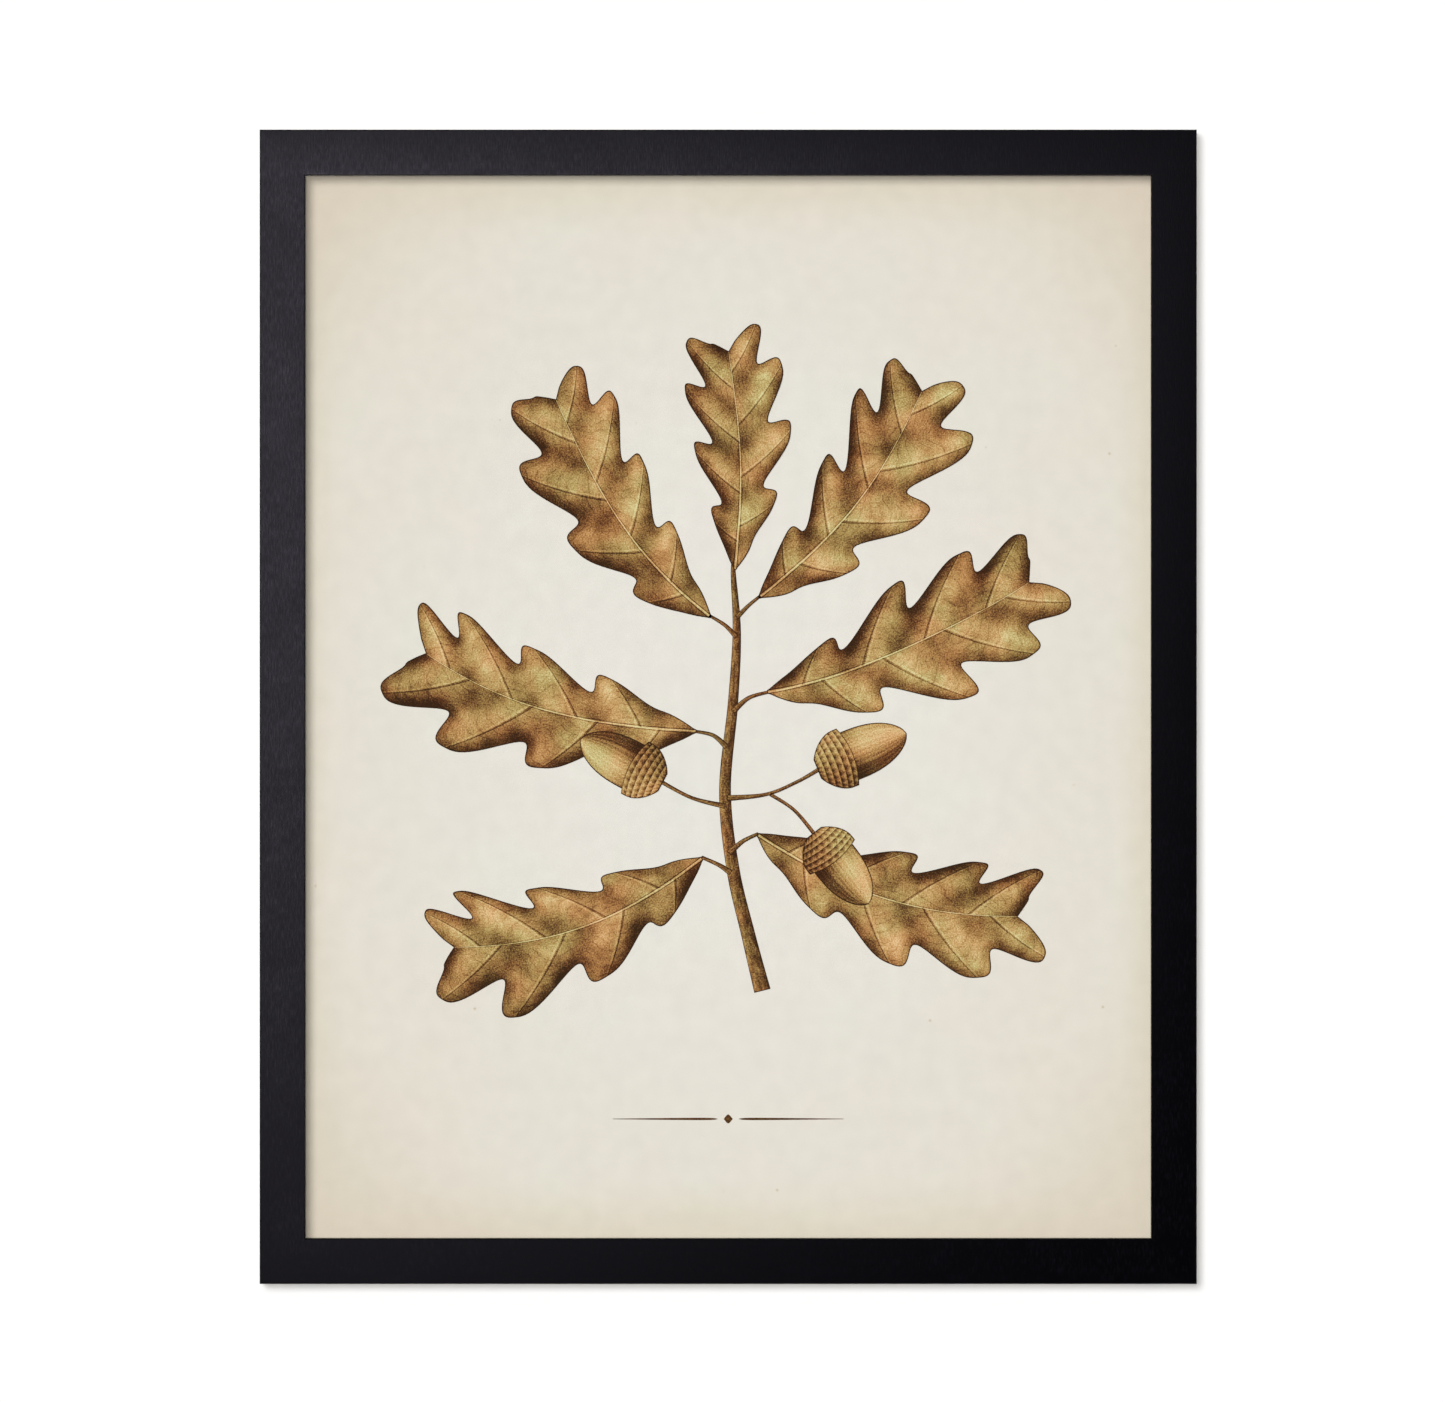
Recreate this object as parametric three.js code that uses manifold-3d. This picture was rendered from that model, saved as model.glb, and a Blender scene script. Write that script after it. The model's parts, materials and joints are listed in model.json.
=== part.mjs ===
// A framed paper print for a wall: four mitred, black-stained wood rails round clear glazing, a paper print,
// a filler board and a hardboard back. Turn buttons hold the back in, and a sawtooth hanger carries the frame.
//
// Millimetres, +Z up. The print faces -Y and the wall is the plane y = 0. The origin is the hanging point: the
// middle notch of the sawtooth hanger, where it bears on the wall's nail.
import * as THREE from "three";
import { mergeVertices } from "three/addons/utils/BufferGeometryUtils.js";
import Module from "manifold-3d";

const wasm = await Module();
wasm.setup();

// ---- driving dimensions ----

const sheetWidth = 406.4; // 16 in print, glazing and boards
const sheetHeight = 508; // 20 in
const sheetPlay = 1.6; // room round the sheets in the rabbet

const railFace = 21.3; // width of a rail seen from the front
const railBody = 14.3; // width of a rail behind its lip
const railDepth = 17.5;
const lipThickness = 6.5;
const arrisRadius = 0.8; // rounding of the two front edges
const mitreGap = 0.05; // glue line at each corner

const glazingThickness = 2;
const printThickness = 0.3;
const fillerThickness = 5;
const backThickness = 3;
const glazingToPrint = 0.5; // air in front of the paper
const layerGap = 0.1; // between the layers behind it

const wallGap = 4; // from the rails to the wall, held by the bumpers and the hanger

const hanger = {
  length: 64,
  height: 10,
  thickness: 1.2,
  raisedLength: 40, // the toothed middle that stands off the rail
  bend: 2.6, // run of each slope between the middle and an end
  cornerRadius: 2,
  teeth: 11,
  toothPitch: 3.2,
  toothDepth: 1.8,
  nailInset: 5.4, // from the strip's end to its nail
  notchToTop: 11, // from the middle notch up to the frame's top edge
};

const nail = { headRadius: 1.9, headHeight: 1, shankRadius: 0.9, shankLength: 9 };

const turnButton = {
  length: 30,
  width: 10,
  thickness: 1,
  holeInset: 6, // from the round end to the pivot
  holeRadius: 2.1,
  ribWidth: 2.4,
  ribHeight: 0.8,
};

const screw = {
  headRadius: 3.7,
  headHeight: 1.9,
  shankRadius: 1.7,
  shankLength: 10,
  slotWidth: 1,
  slotDepth: 0.9,
};

const vNail = { leg: 6.4, thickness: 0.7, depth: 7, opening: Math.PI / 2, insets: [4.6, 10.4] };

const bumper = { radius: 6, crown: 0.9, cornerInset: 7.6 };

const slack = 0.3; // clearance round metal in wood, and under swivelling plates
const roundSides = 24;

// ---- places worked out from them ----

const outerWidth = sheetWidth + 2 * (sheetPlay + railBody);
const outerHeight = sheetHeight + 2 * (sheetPlay + railBody);
const topZ = hanger.notchToTop;
const bottomZ = topZ - outerHeight;
const centreZ = (topZ + bottomZ) / 2;

const railBackY = -wallGap;
const railFrontY = railBackY - railDepth;
const lipBackY = railFrontY + lipThickness;
const plateY = railBackY + slack; // underside of the plates that lie on the rails' backs

// ---- solids ----

// A closed three.js geometry as a manifold-3d solid, and back.
function toSolid(geometry) {
  const bare = geometry.index ? geometry.toNonIndexed() : geometry.clone();
  bare.deleteAttribute("normal");
  bare.deleteAttribute("uv");
  const merged = mergeVertices(bare, 1e-4);
  return new wasm.Manifold(
    new wasm.Mesh({
      numProp: 3,
      vertProperties: merged.attributes.position.array,
      triVerts: new Uint32Array(merged.index.array),
    }),
  );
}

function toGeometry(solid) {
  const mesh = solid.getMesh();
  const geometry = new THREE.BufferGeometry();
  geometry.setAttribute("position", new THREE.BufferAttribute(mesh.vertProperties, 3));
  geometry.setIndex(new THREE.BufferAttribute(mesh.triVerts, 1));
  geometry.computeVertexNormals();
  return geometry;
}

function subtractAll(geometry, cutters) {
  let solid = toSolid(geometry);
  for (const cutter of cutters) solid = solid.subtract(toSolid(cutter));
  return toGeometry(solid);
}

// An outline in X and Z, pushed out along Y from yLow to yHigh.
function plate(shape, yLow, yHigh, curveSegments = 6) {
  const depth = yHigh - yLow;
  const geometry = new THREE.ExtrudeGeometry(shape, { depth, bevelEnabled: false, curveSegments });
  return geometry.rotateX(Math.PI / 2).translate(0, yHigh, 0);
}

// A turned piece about an axis along Y: profile points are [radius, y].
function turned(profile) {
  const points = profile.map(([radius, y]) => new THREE.Vector2(radius, y));
  return new THREE.LatheGeometry(points, roundSides);
}

function rectangle(width, height) {
  const w = width / 2;
  const h = height / 2;
  return new THREE.Shape([
    new THREE.Vector2(-w, -h),
    new THREE.Vector2(w, -h),
    new THREE.Vector2(w, h),
    new THREE.Vector2(-w, h),
  ]);
}

function roundedRectangle(width, height, radius) {
  const w = width / 2;
  const h = height / 2;
  const shape = new THREE.Shape();
  shape.moveTo(-w + radius, -h);
  shape.lineTo(w - radius, -h);
  shape.absarc(w - radius, -h + radius, radius, -Math.PI / 2, 0);
  shape.lineTo(w, h - radius);
  shape.absarc(w - radius, h - radius, radius, 0, Math.PI / 2);
  shape.lineTo(-w + radius, h);
  shape.absarc(-w + radius, h - radius, radius, Math.PI / 2, Math.PI);
  shape.lineTo(-w, -h + radius);
  shape.absarc(-w + radius, -h + radius, radius, Math.PI, 1.5 * Math.PI);
  return shape;
}

// ---- materials ----

function material(color, roughness, metalness = 0, opacity = 1) {
  return new THREE.MeshStandardMaterial({ color, roughness, metalness, opacity, transparent: opacity < 1 });
}

const blackWood = material(0x232126, 0.5);
const acrylic = material(0xf4f7f6, 0.05, 0, 0.2);
const paper = material(0xe7e2d6, 0.9);
const foamBoard = material(0xf1efe8, 0.9);
const hardboard = material(0x8a6544, 0.8);
const zincSteel = material(0xb4b7ba, 0.35, 1);
const rubber = material(0x2a2a2b, 0.9);

// ---- where things sit on the rails ----

// A rail lies along X with its outer edge up, at z = 0 in its own frame, and is turned about Y into its place.
const rails = [
  { name: "top", length: outerWidth, turn: 0, x: 0, z: topZ },
  { name: "bottom", length: outerWidth, turn: Math.PI, x: 0, z: bottomZ },
  { name: "left", length: outerHeight, turn: -Math.PI / 2, x: -outerWidth / 2, z: centreZ },
  { name: "right", length: outerHeight, turn: Math.PI / 2, x: outerWidth / 2, z: centreZ },
];

const buttonPlaces = [-0.25, 0.25]; // shares of a rail's length from its middle
const pivotInset = railBody / 2;

function inRailFrame(object, rail) {
  object.rotation.y = rail.turn;
  object.position.set(rail.x, 0, rail.z);
  return object;
}

// The two end faces of a rail lean in by 45 degrees: a point that is t in from the outer edge ends t short.
function mitredRail(length) {
  const section = new THREE.Shape();
  const front = railFrontY;
  const back = railBackY;
  section.moveTo(0, back);
  section.lineTo(0, front + arrisRadius);
  section.absarc(arrisRadius, front + arrisRadius, arrisRadius, Math.PI, 1.5 * Math.PI);
  section.lineTo(railFace - arrisRadius, front);
  section.absarc(railFace - arrisRadius, front + arrisRadius, arrisRadius, 1.5 * Math.PI, 2 * Math.PI);
  section.lineTo(railFace, lipBackY);
  section.lineTo(railBody, lipBackY);
  section.lineTo(railBody, back);
  const geometry = new THREE.ExtrudeGeometry(section, { depth: 1, bevelEnabled: false, curveSegments: 4 });
  const at = geometry.attributes.position;
  for (let i = 0; i < at.count; i += 1) {
    const inset = at.getX(i);
    const end = at.getZ(i) > 0.5 ? 1 : -1;
    at.setXYZ(i, end * (length / 2 - inset - mitreGap / 2), at.getY(i), -inset);
  }
  return geometry;
}

// ---- fasteners ----

function screwBody(extra = 0) {
  const { headRadius, headHeight, shankRadius, shankLength } = screw;
  const seat = plateY + turnButton.thickness + slack / 2;
  const crown = 0.5;
  return turned([
    [0, railBackY - shankLength - extra],
    [shankRadius + extra, railBackY - shankLength - extra],
    [shankRadius + extra, seat],
    [headRadius, seat],
    [headRadius, seat + headHeight - crown],
    [headRadius - crown, seat + headHeight],
    [0, seat + headHeight],
  ]);
}

// A bar across the head, for the driver.
function screwSlot() {
  const top = plateY + turnButton.thickness + slack / 2 + screw.headHeight;
  return new THREE.BoxGeometry(3 * screw.headRadius, 2 * screw.slotDepth, screw.slotWidth).translate(0, top, 0);
}

function nailBody(extra = 0) {
  const seat = plateY + hanger.thickness;
  const crown = 0.3;
  return turned([
    [0, railBackY - nail.shankLength - extra],
    [nail.shankRadius + extra, railBackY - nail.shankLength - extra],
    [nail.shankRadius + extra, seat],
    [nail.headRadius, seat],
    [nail.headRadius, seat + nail.headHeight - crown],
    [nail.headRadius - crown, seat + nail.headHeight],
    [0, seat + nail.headHeight],
  ]);
}

// A bent strip that straddles a mitre: its fold is on the joint and one leg runs into each rail. It is drawn with
// the joint along +X and the corner's outside towards +X.
function vNailBody(extra = 0) {
  const t = vNail.thickness / 2 + extra;
  const reach = vNail.leg + extra;
  const half = vNail.opening / 2;
  const along = [-Math.cos(half), Math.sin(half)];
  const across = [Math.sin(half), Math.cos(half)];
  const corner = t / Math.sin(half);
  const point = (s, w, side) => new THREE.Vector2(s * along[0] + w * across[0], side * (s * along[1] + w * across[1]));
  const shape = new THREE.Shape([
    new THREE.Vector2(corner, 0),
    point(reach, t, 1),
    point(reach, -t, 1),
    new THREE.Vector2(-corner, 0),
    point(reach, -t, -1),
    point(reach, t, -1),
  ]);
  return plate(shape, railBackY - vNail.depth - extra, railBackY + extra);
}

// ---- the frame ----

const corners = [
  { name: "top_left", x: -1, z: 1 },
  { name: "top_right", x: 1, z: 1 },
  { name: "bottom_left", x: -1, z: -1 },
  { name: "bottom_right", x: 1, z: -1 },
];

// Places a V-nail's geometry on one corner's joint, its fold the given distance in from both outer edges.
function atCorner(geometry, corner, inset) {
  const angle = Math.atan2(corner.z, corner.x);
  const x = corner.x * (outerWidth / 2 - inset);
  const z = centreZ + corner.z * (outerHeight / 2 - inset);
  return geometry.rotateY(-angle).translate(x, 0, z);
}

const hangerNailX = hanger.length / 2 - hanger.nailInset;
const hangerCentreZ = hanger.height / 2 - hanger.toothDepth;

const frame = new THREE.Group();

for (const rail of rails) {
  const solid = inRailFrame(new THREE.Mesh(mitredRail(rail.length)), rail);
  solid.updateMatrixWorld();
  const body = solid.geometry.applyMatrix4(solid.matrixWorld);
  const cutters = buttonPlaces.map((share) => {
    const holder = inRailFrame(new THREE.Object3D(), rail);
    holder.updateMatrixWorld();
    const at = new THREE.Vector3(share * rail.length, 0, -pivotInset).applyMatrix4(holder.matrixWorld);
    return screwBody(slack).translate(at.x, 0, at.z);
  });
  for (const corner of corners)
    for (const inset of vNail.insets) cutters.push(atCorner(vNailBody(slack), corner, inset));
  if (rail.name === "top")
    for (const side of [-1, 1]) cutters.push(nailBody(slack).translate(side * hangerNailX, 0, hangerCentreZ));
  const mesh = new THREE.Mesh(subtractAll(body, cutters), blackWood);
  mesh.name = `rail_${rail.name}`;
  frame.add(mesh);
}

for (const corner of corners)
  vNail.insets.forEach((inset, i) => {
    const mesh = new THREE.Mesh(atCorner(vNailBody(), corner, inset), zincSteel);
    mesh.name = `v_nail_${corner.name}_${i + 1}`;
    frame.add(mesh);
  });

// ---- glazing, print and boards, from front to back ----

const layers = [
  { name: "glazing", thickness: glazingThickness, gap: glazingToPrint, material: acrylic },
  { name: "print_sheet", thickness: printThickness, gap: layerGap, material: paper },
  { name: "filler_board", thickness: fillerThickness, gap: layerGap, material: foamBoard },
  { name: "back_board", thickness: backThickness, gap: 0, material: hardboard },
];

let layerFront = lipBackY;
for (const layer of layers) {
  const outline = rectangle(sheetWidth, sheetHeight);
  const mesh = new THREE.Mesh(plate(outline, layerFront, layerFront + layer.thickness), layer.material);
  mesh.name = layer.name;
  mesh.position.z = centreZ;
  frame.add(mesh);
  layerFront += layer.thickness + layer.gap;
}

// ---- turn buttons and their screws ----

// The plate's pivot is at its own origin and its tongue points down, over the boards.
function turnButtonBody() {
  const { length, width, thickness, holeInset, holeRadius, ribWidth, ribHeight } = turnButton;
  const outline = roundedRectangle(width, length, width / 2 - 0.01);
  const body = plate(outline, plateY, plateY + thickness).translate(0, 0, holeInset - length / 2);
  const hole = plate(new THREE.Shape().absarc(0, 0, holeRadius, 0, 2 * Math.PI), plateY - 1, 0, 12);
  const ribLength = length - 2 * holeInset - holeRadius - 3;
  const rib = plate(
    roundedRectangle(ribWidth, ribLength, ribWidth / 2 - 0.01),
    plateY + thickness / 2,
    plateY + thickness + ribHeight,
  ).translate(0, 0, -length / 2 + holeInset / 2 - 1.2);
  return toGeometry(toSolid(body).add(toSolid(rib)).subtract(toSolid(hole)));
}

for (const rail of rails)
  buttonPlaces.forEach((share, i) => {
    const holder = inRailFrame(new THREE.Group(), rail);
    const button = new THREE.Mesh(turnButtonBody(), zincSteel);
    button.name = `turn_button_${rail.name}_${i + 1}`;
    const pivot = new THREE.Mesh(subtractAll(screwBody(), [screwSlot()]), zincSteel);
    pivot.name = `button_screw_${rail.name}_${i + 1}`;
    for (const mesh of [button, pivot]) mesh.position.set(share * rail.length, 0, -pivotInset);
    holder.add(button, pivot);
    frame.add(holder);
  });

// ---- sawtooth hanger ----

function hangerBody() {
  const { length, height, thickness, raisedLength, bend, cornerRadius, teeth, toothPitch, toothDepth } = hanger;
  // Seen from above: both ends lie on the rail and the middle stands off it.
  const side = [
    [length / 2, plateY],
    [raisedLength / 2 + bend, plateY],
    [raisedLength / 2, -thickness],
  ];
  const inner = [...side, ...side.map(([x, y]) => [-x, y]).reverse()];
  const outer = inner.map(([x, y]) => [x, y + thickness]).reverse();
  const strip = new THREE.Shape([...inner, ...outer].map(([x, y]) => new THREE.Vector2(x, y)));
  const bent = new THREE.ExtrudeGeometry(strip, { depth: height, bevelEnabled: false });
  bent.translate(0, 0, hangerCentreZ - height / 2);
  // Seen from behind: round corners, a row of teeth along the lower edge, and a hole for each nail.
  const face = plate(roundedRectangle(length, height, cornerRadius), -10, 10).translate(0, 0, hangerCentreZ);
  let solid = toSolid(bent).intersect(toSolid(face));
  for (let i = 0; i < teeth; i += 1) {
    const x = (i - (teeth - 1) / 2) * toothPitch;
    const half = toothPitch / 2;
    const notch = new THREE.Shape([
      new THREE.Vector2(x - half, -toothDepth),
      new THREE.Vector2(x - half, -toothDepth - 1),
      new THREE.Vector2(x + half, -toothDepth - 1),
      new THREE.Vector2(x + half, -toothDepth),
      new THREE.Vector2(x, 0),
    ]);
    solid = solid.subtract(toSolid(plate(notch, -10, 10)));
  }
  for (const x of [-hangerNailX, hangerNailX]) {
    const hole = new THREE.Shape().absarc(x, hangerCentreZ, nail.shankRadius + slack, 0, 2 * Math.PI);
    solid = solid.subtract(toSolid(plate(hole, -10, 10, 12)));
  }
  return toGeometry(solid);
}

const hangerMesh = new THREE.Mesh(hangerBody(), zincSteel);
hangerMesh.name = "sawtooth_hanger";
frame.add(hangerMesh);

[-1, 1].forEach((side, i) => {
  const mesh = new THREE.Mesh(nailBody(), zincSteel);
  mesh.name = `hanger_nail_${i + 1}`;
  mesh.position.set(side * hangerNailX, 0, hangerCentreZ);
  frame.add(mesh);
});

// ---- bumpers ----

for (const side of [-1, 1]) {
  const { radius, crown, cornerInset } = bumper;
  const pad = turned([
    [0, railBackY],
    [radius, railBackY],
    [radius, -crown],
    [radius - crown, 0],
    [0, 0],
  ]);
  const mesh = new THREE.Mesh(pad, rubber);
  mesh.name = side < 0 ? "bumper_left" : "bumper_right";
  mesh.position.set(side * (outerWidth / 2 - 3 * cornerInset), 0, bottomZ + cornerInset);
  frame.add(mesh);
}

export default frame;
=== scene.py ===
import json
import math
import random
from functools import partial

import bmesh
import bpy
from mathutils import Matrix, Vector
from mathutils.kdtree import KDTree


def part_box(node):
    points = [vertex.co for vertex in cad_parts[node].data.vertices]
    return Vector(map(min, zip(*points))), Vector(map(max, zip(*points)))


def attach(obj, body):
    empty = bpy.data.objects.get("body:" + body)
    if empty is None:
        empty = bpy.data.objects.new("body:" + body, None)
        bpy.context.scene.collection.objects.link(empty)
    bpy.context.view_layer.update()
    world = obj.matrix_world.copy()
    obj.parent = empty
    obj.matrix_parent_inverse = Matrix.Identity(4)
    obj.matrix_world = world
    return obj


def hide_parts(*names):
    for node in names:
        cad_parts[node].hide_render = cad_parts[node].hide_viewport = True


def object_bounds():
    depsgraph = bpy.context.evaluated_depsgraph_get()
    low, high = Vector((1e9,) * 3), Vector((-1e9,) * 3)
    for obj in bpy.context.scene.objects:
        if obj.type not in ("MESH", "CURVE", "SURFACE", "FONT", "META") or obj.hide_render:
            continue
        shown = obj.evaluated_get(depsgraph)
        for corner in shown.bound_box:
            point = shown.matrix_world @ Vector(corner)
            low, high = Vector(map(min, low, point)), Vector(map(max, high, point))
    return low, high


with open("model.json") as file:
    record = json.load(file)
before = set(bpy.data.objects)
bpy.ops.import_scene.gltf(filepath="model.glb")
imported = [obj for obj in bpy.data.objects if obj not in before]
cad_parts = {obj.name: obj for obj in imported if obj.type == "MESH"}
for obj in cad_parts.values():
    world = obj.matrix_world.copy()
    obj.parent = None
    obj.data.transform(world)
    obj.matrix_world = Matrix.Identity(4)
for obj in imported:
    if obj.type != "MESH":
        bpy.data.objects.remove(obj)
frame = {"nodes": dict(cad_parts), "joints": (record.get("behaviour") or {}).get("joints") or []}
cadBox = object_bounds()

# A black wood picture frame with a printed oak sprig behind clear acrylic, hung on a pale wall.
# Sizes are in millimetres in the dictionaries, and turned to metres where meshes are made.
mm = 0.001
sharpFrom = 35  # degrees between two faces, past which their edge isn't shaded smooth


def linearColour(hexColour):
    channels = [int(hexColour[i : i + 2], 16) / 255 for i in (1, 3, 5)]
    return (*[c / 12.92 if c <= 0.04045 else ((c + 0.055) / 1.055) ** 2.4 for c in channels], 1)


def addNode(tree, kind, values=None):
    # the kind may carry an operation, as in "Math ADD"; a key in lower case is a setting of the node,
    # and any other is an input, which gets a value or a link
    kind, _, operation = kind.partition(" ")
    families = ["ShaderNode"]
    if tree.type == "GEOMETRY":
        families = ["GeometryNode", "FunctionNode", "ShaderNode", "Node"]
    added = tree.nodes.new(next(family + kind for family in families if hasattr(bpy.types, family + kind)))
    if operation:
        added.operation = operation
    for key, value in (values or {}).items():
        if isinstance(key, str) and key[0].islower():
            setattr(added, key, value)
            continue
        byName = (one for one in added.inputs if one.name == key and one.enabled)
        socket = added.inputs[key] if isinstance(key, int) else next(byName)
        if isinstance(value, bpy.types.Node):
            value = next(output for output in value.outputs if output.enabled)
        if isinstance(value, bpy.types.NodeSocket):
            tree.links.new(value, socket)
        else:
            isColour = isinstance(value, str) and value.startswith("#")
            socket.default_value = linearColour(value) if isColour else value
    return added


def newMaterial(name, surfaceOf, *details):
    # surfaceOf makes the nodes of the finish, and gives back the last of them
    material = bpy.data.materials.new(name)
    material.use_nodes = True
    material.node_tree.nodes.clear()
    add = partial(addNode, material.node_tree)
    add("OutputMaterial", {"Surface": surfaceOf(add, *details)})
    return material


def tinted(add, tint, layers):
    # lays colours over a tint; each layer: what it follows, from, to, its share at most, its colour
    for source, low, high, most, colour in layers:
        share = add("MapRange", {"From Min": low, "From Max": high, "To Max": most, "Value": source})
        tint = add("Mix", {"data_type": "RGBA", "Factor": share, "A": tint, "B": colour})
    return tint


def inMillimetres(add, depth=1, centre=(0, 0, 0)):
    # the object's own coordinates, counted in millimetres from the centre; with depth 0 they are flat
    place = add("TexCoord").outputs["Object"]
    start = [-c / mm for c in centre]
    return add("Mapping", {"Location": start, "Scale": (1 / mm, depth / mm, 1 / mm), "Vector": place})


def dress(mesh, material):
    mesh.materials.clear()
    mesh.materials.append(material)


def addPiece(name, mesh, material=None):
    piece = bpy.data.objects.new(name, mesh)
    bpy.context.scene.collection.objects.link(piece)
    if material:
        dress(mesh, material)
    return piece


# where the frame and its layers are
frontY = cadBox[0].y
outer = {"left": cadBox[0].x, "right": cadBox[1].x, "bottom": cadBox[0].z, "top": cadBox[1].z}
middle = Vector(((outer["left"] + outer["right"]) / 2, 0, (outer["bottom"] + outer["top"]) / 2))
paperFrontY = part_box("print_sheet")[0].y

# the room: camera, wall, floor and lights, in metres

room = {
    "pictureWidth": 0.6756,  # what the camera takes in, across the frame's face
    "lens": 300,  # long, so the frame's inner faces stay out of sight
    "aimX": -0.00267,  # from the frame's middle
    "aimZ": 0.00271,
    "wallColour": "#dadad9",
    "wallGap": 0.0006,
    "floorColour": "#ecebe8",
    "floorBelow": 0.75,  # from the frame's lower edge down to the floor
    "spread": 7.0,  # how far the wall and the floor reach
    # painted shade: the colour of the dark sheet on the wall just behind the frame, standing in for the
    # shade in the gap
    "behindFrame": "#1c1b1a",
    "behindInset": 0.001,
    "behindGap": 0.0004,
    "ambient": 0.1,  # strength of the white all round
    "mirroredSky": 0.05,  # how much of it a mirror sees
    "sheenColour": "#f3ebff",
}


def oneSidedPaint(add, colour):
    # matt wall paint, see-through from behind so that the frame's back can be looked at
    behind = add("NewGeometry").outputs["Backfacing"]
    paint = add("BsdfDiffuse", {"Color": colour})
    return add("MixShader", {0: behind, 1: paint, 2: add("BsdfTransparent")})


def addSheet(name, low, high, paintName, colour):
    # a rectangle between two opposite corners
    mesh = bpy.data.meshes.new(name)
    mesh.from_pydata([low, (high[0], *low[1:]), high, (low[0], *high[1:])], [], [(0, 1, 2, 3)])
    sheet = addPiece(name, mesh, newMaterial(paintName, oneSidedPaint, colour))
    sheet.visible_shadow = False
    return sheet


spread, floorZ, wallY = room["spread"], outer["bottom"] - room["floorBelow"], room["wallGap"]
low, high = (-spread, wallY, floorZ), (spread, wallY, spread)
wall = addSheet("wall", low, high, "mattWallPaint", room["wallColour"])
low, high = (-spread, -spread, floorZ), (spread, spread, floorZ)
floor = addSheet("floor", low, high, "mattFloorPaint", room["floorColour"])
floor.visible_glossy = False  # the frame's satin would mirror it
floor.visible_diffuse = False  # nor does it throw light up, which would fade the wall's shadows
# painted shade: a dark sheet on the wall close behind the frame stands in for the shade in the gap there,
# and keeps what the frame's back throws from tinting the wall
inset, gap = room["behindInset"], room["behindGap"]
low = (outer["left"] + inset, gap, outer["bottom"] + inset)
high = (outer["right"] - inset, gap, outer["top"] - inset)
shadedWall = addSheet("shadedWall", low, high, "shadedWallPaint", room["behindFrame"])
shadedWall.visible_glossy = False  # the zinc at the back still mirrors the pale wall

camera = bpy.data.objects.new("camera", bpy.data.cameras.new("camera"))
bpy.context.scene.collection.objects.link(camera)
camera.data.lens = room["lens"]
distance = room["pictureWidth"] * camera.data.lens / camera.data.sensor_width
camera.location = (middle.x + room["aimX"], frontY - distance, middle.z + room["aimZ"])
camera.rotation_euler = (math.pi / 2, 0, 0)
camera.data.clip_end = 100
bpy.context.scene.camera = camera
bpy.context.scene.view_settings.view_transform = "Standard"  # plain colours, as a catalogue shows them

lamps = {
    # a sun is soft over an angle in degrees; an area lamp has a width, a height and the angle of its grid
    "frontFill": {"energy": 1.38, "soft": 6, "at": (0, -1, 0)},
    "keyOnPicture": {"energy": 2.75, "soft": 32, "at": (-0.31, -1, 0.31)},
    "keyOnWall": {"energy": 2.95, "soft": 15, "at": (-0.13, -1, 0.13)},
    "backLeft": {"energy": 1.9, "soft": 30, "at": (-1, 0.9, 0.6)},
    "backRight": {"energy": 1.9, "soft": 30, "at": (1, 0.9, 0.6)},
    "sheen": {
        "kind": "AREA", "energy": 3.55, "soft": (0.7, 0.73, 88),
        "at": (-0.34, -1.05, -0.04), "to": (-0.58, 0.58),
    },
}


def addLamp(name, energy, soft, at, to=(0, 0), kind="SUN"):
    lamp = bpy.data.objects.new(name, bpy.data.lights.new(name, kind))
    bpy.context.scene.collection.objects.link(lamp)
    lamp.data.energy = energy
    lamp.location = middle + Vector(at)
    lamp.rotation_euler = (Vector(at) - Vector((to[0], 0, to[1]))).to_track_quat("Z", "Y").to_euler()
    if kind == "SUN":
        lamp.data.angle = math.radians(soft)
    else:
        lamp.data.shape = "RECTANGLE"
        lamp.data.size, lamp.data.size_y, grid = soft
        lamp.data.spread = math.radians(grid)
    return lamp


def addGroup(name, lamp, pieces):
    # the pieces that a lamp is linked to
    group = bpy.data.collections.new(name)
    for piece in pieces:
        group.objects.link(piece)
    lamp.light_linking.receiver_collection = group
    return group


lit = {name: addLamp(name, **lamp) for name, lamp in lamps.items()}
for name in ("frontFill", "keyOnPicture", "keyOnWall"):
    lit[name].visible_glossy = False
lit["sheen"].visible_diffuse = False
lit["sheen"].data.color = linearColour(room["sheenColour"])[:3]
# the wall has a key light of its own, which throws a narrower shadow than the one on the frame and print
addGroup("litByWallKey", lit["keyOnWall"], [wall])
offWall = addGroup("notLitByPictureKey", lit["keyOnPicture"], [wall])
offWall.collection_objects[0].light_linking.link_state = "EXCLUDE"

world = bpy.data.worlds.new("paleRoom")
world.use_nodes = True
world.node_tree.nodes.clear()
bpy.context.scene.world = world
add = partial(addNode, world.node_tree)
ray = add("LightPath").outputs
seen = add("MapRange", {"To Min": room["ambient"], "Value": ray["Is Camera Ray"]})
mirrored = add("MapRange", {"To Min": 1, "To Max": room["mirroredSky"], "Value": ray["Is Glossy Ray"]})
level = add("Math MULTIPLY", {0: seen, 1: mirrored})
add("OutputWorld", {"Surface": add("Background", {"Color": "#ffffff", "Strength": level})})
print("room, camera and lamps set")

# node trees, and the plain meshes made with them


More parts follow.
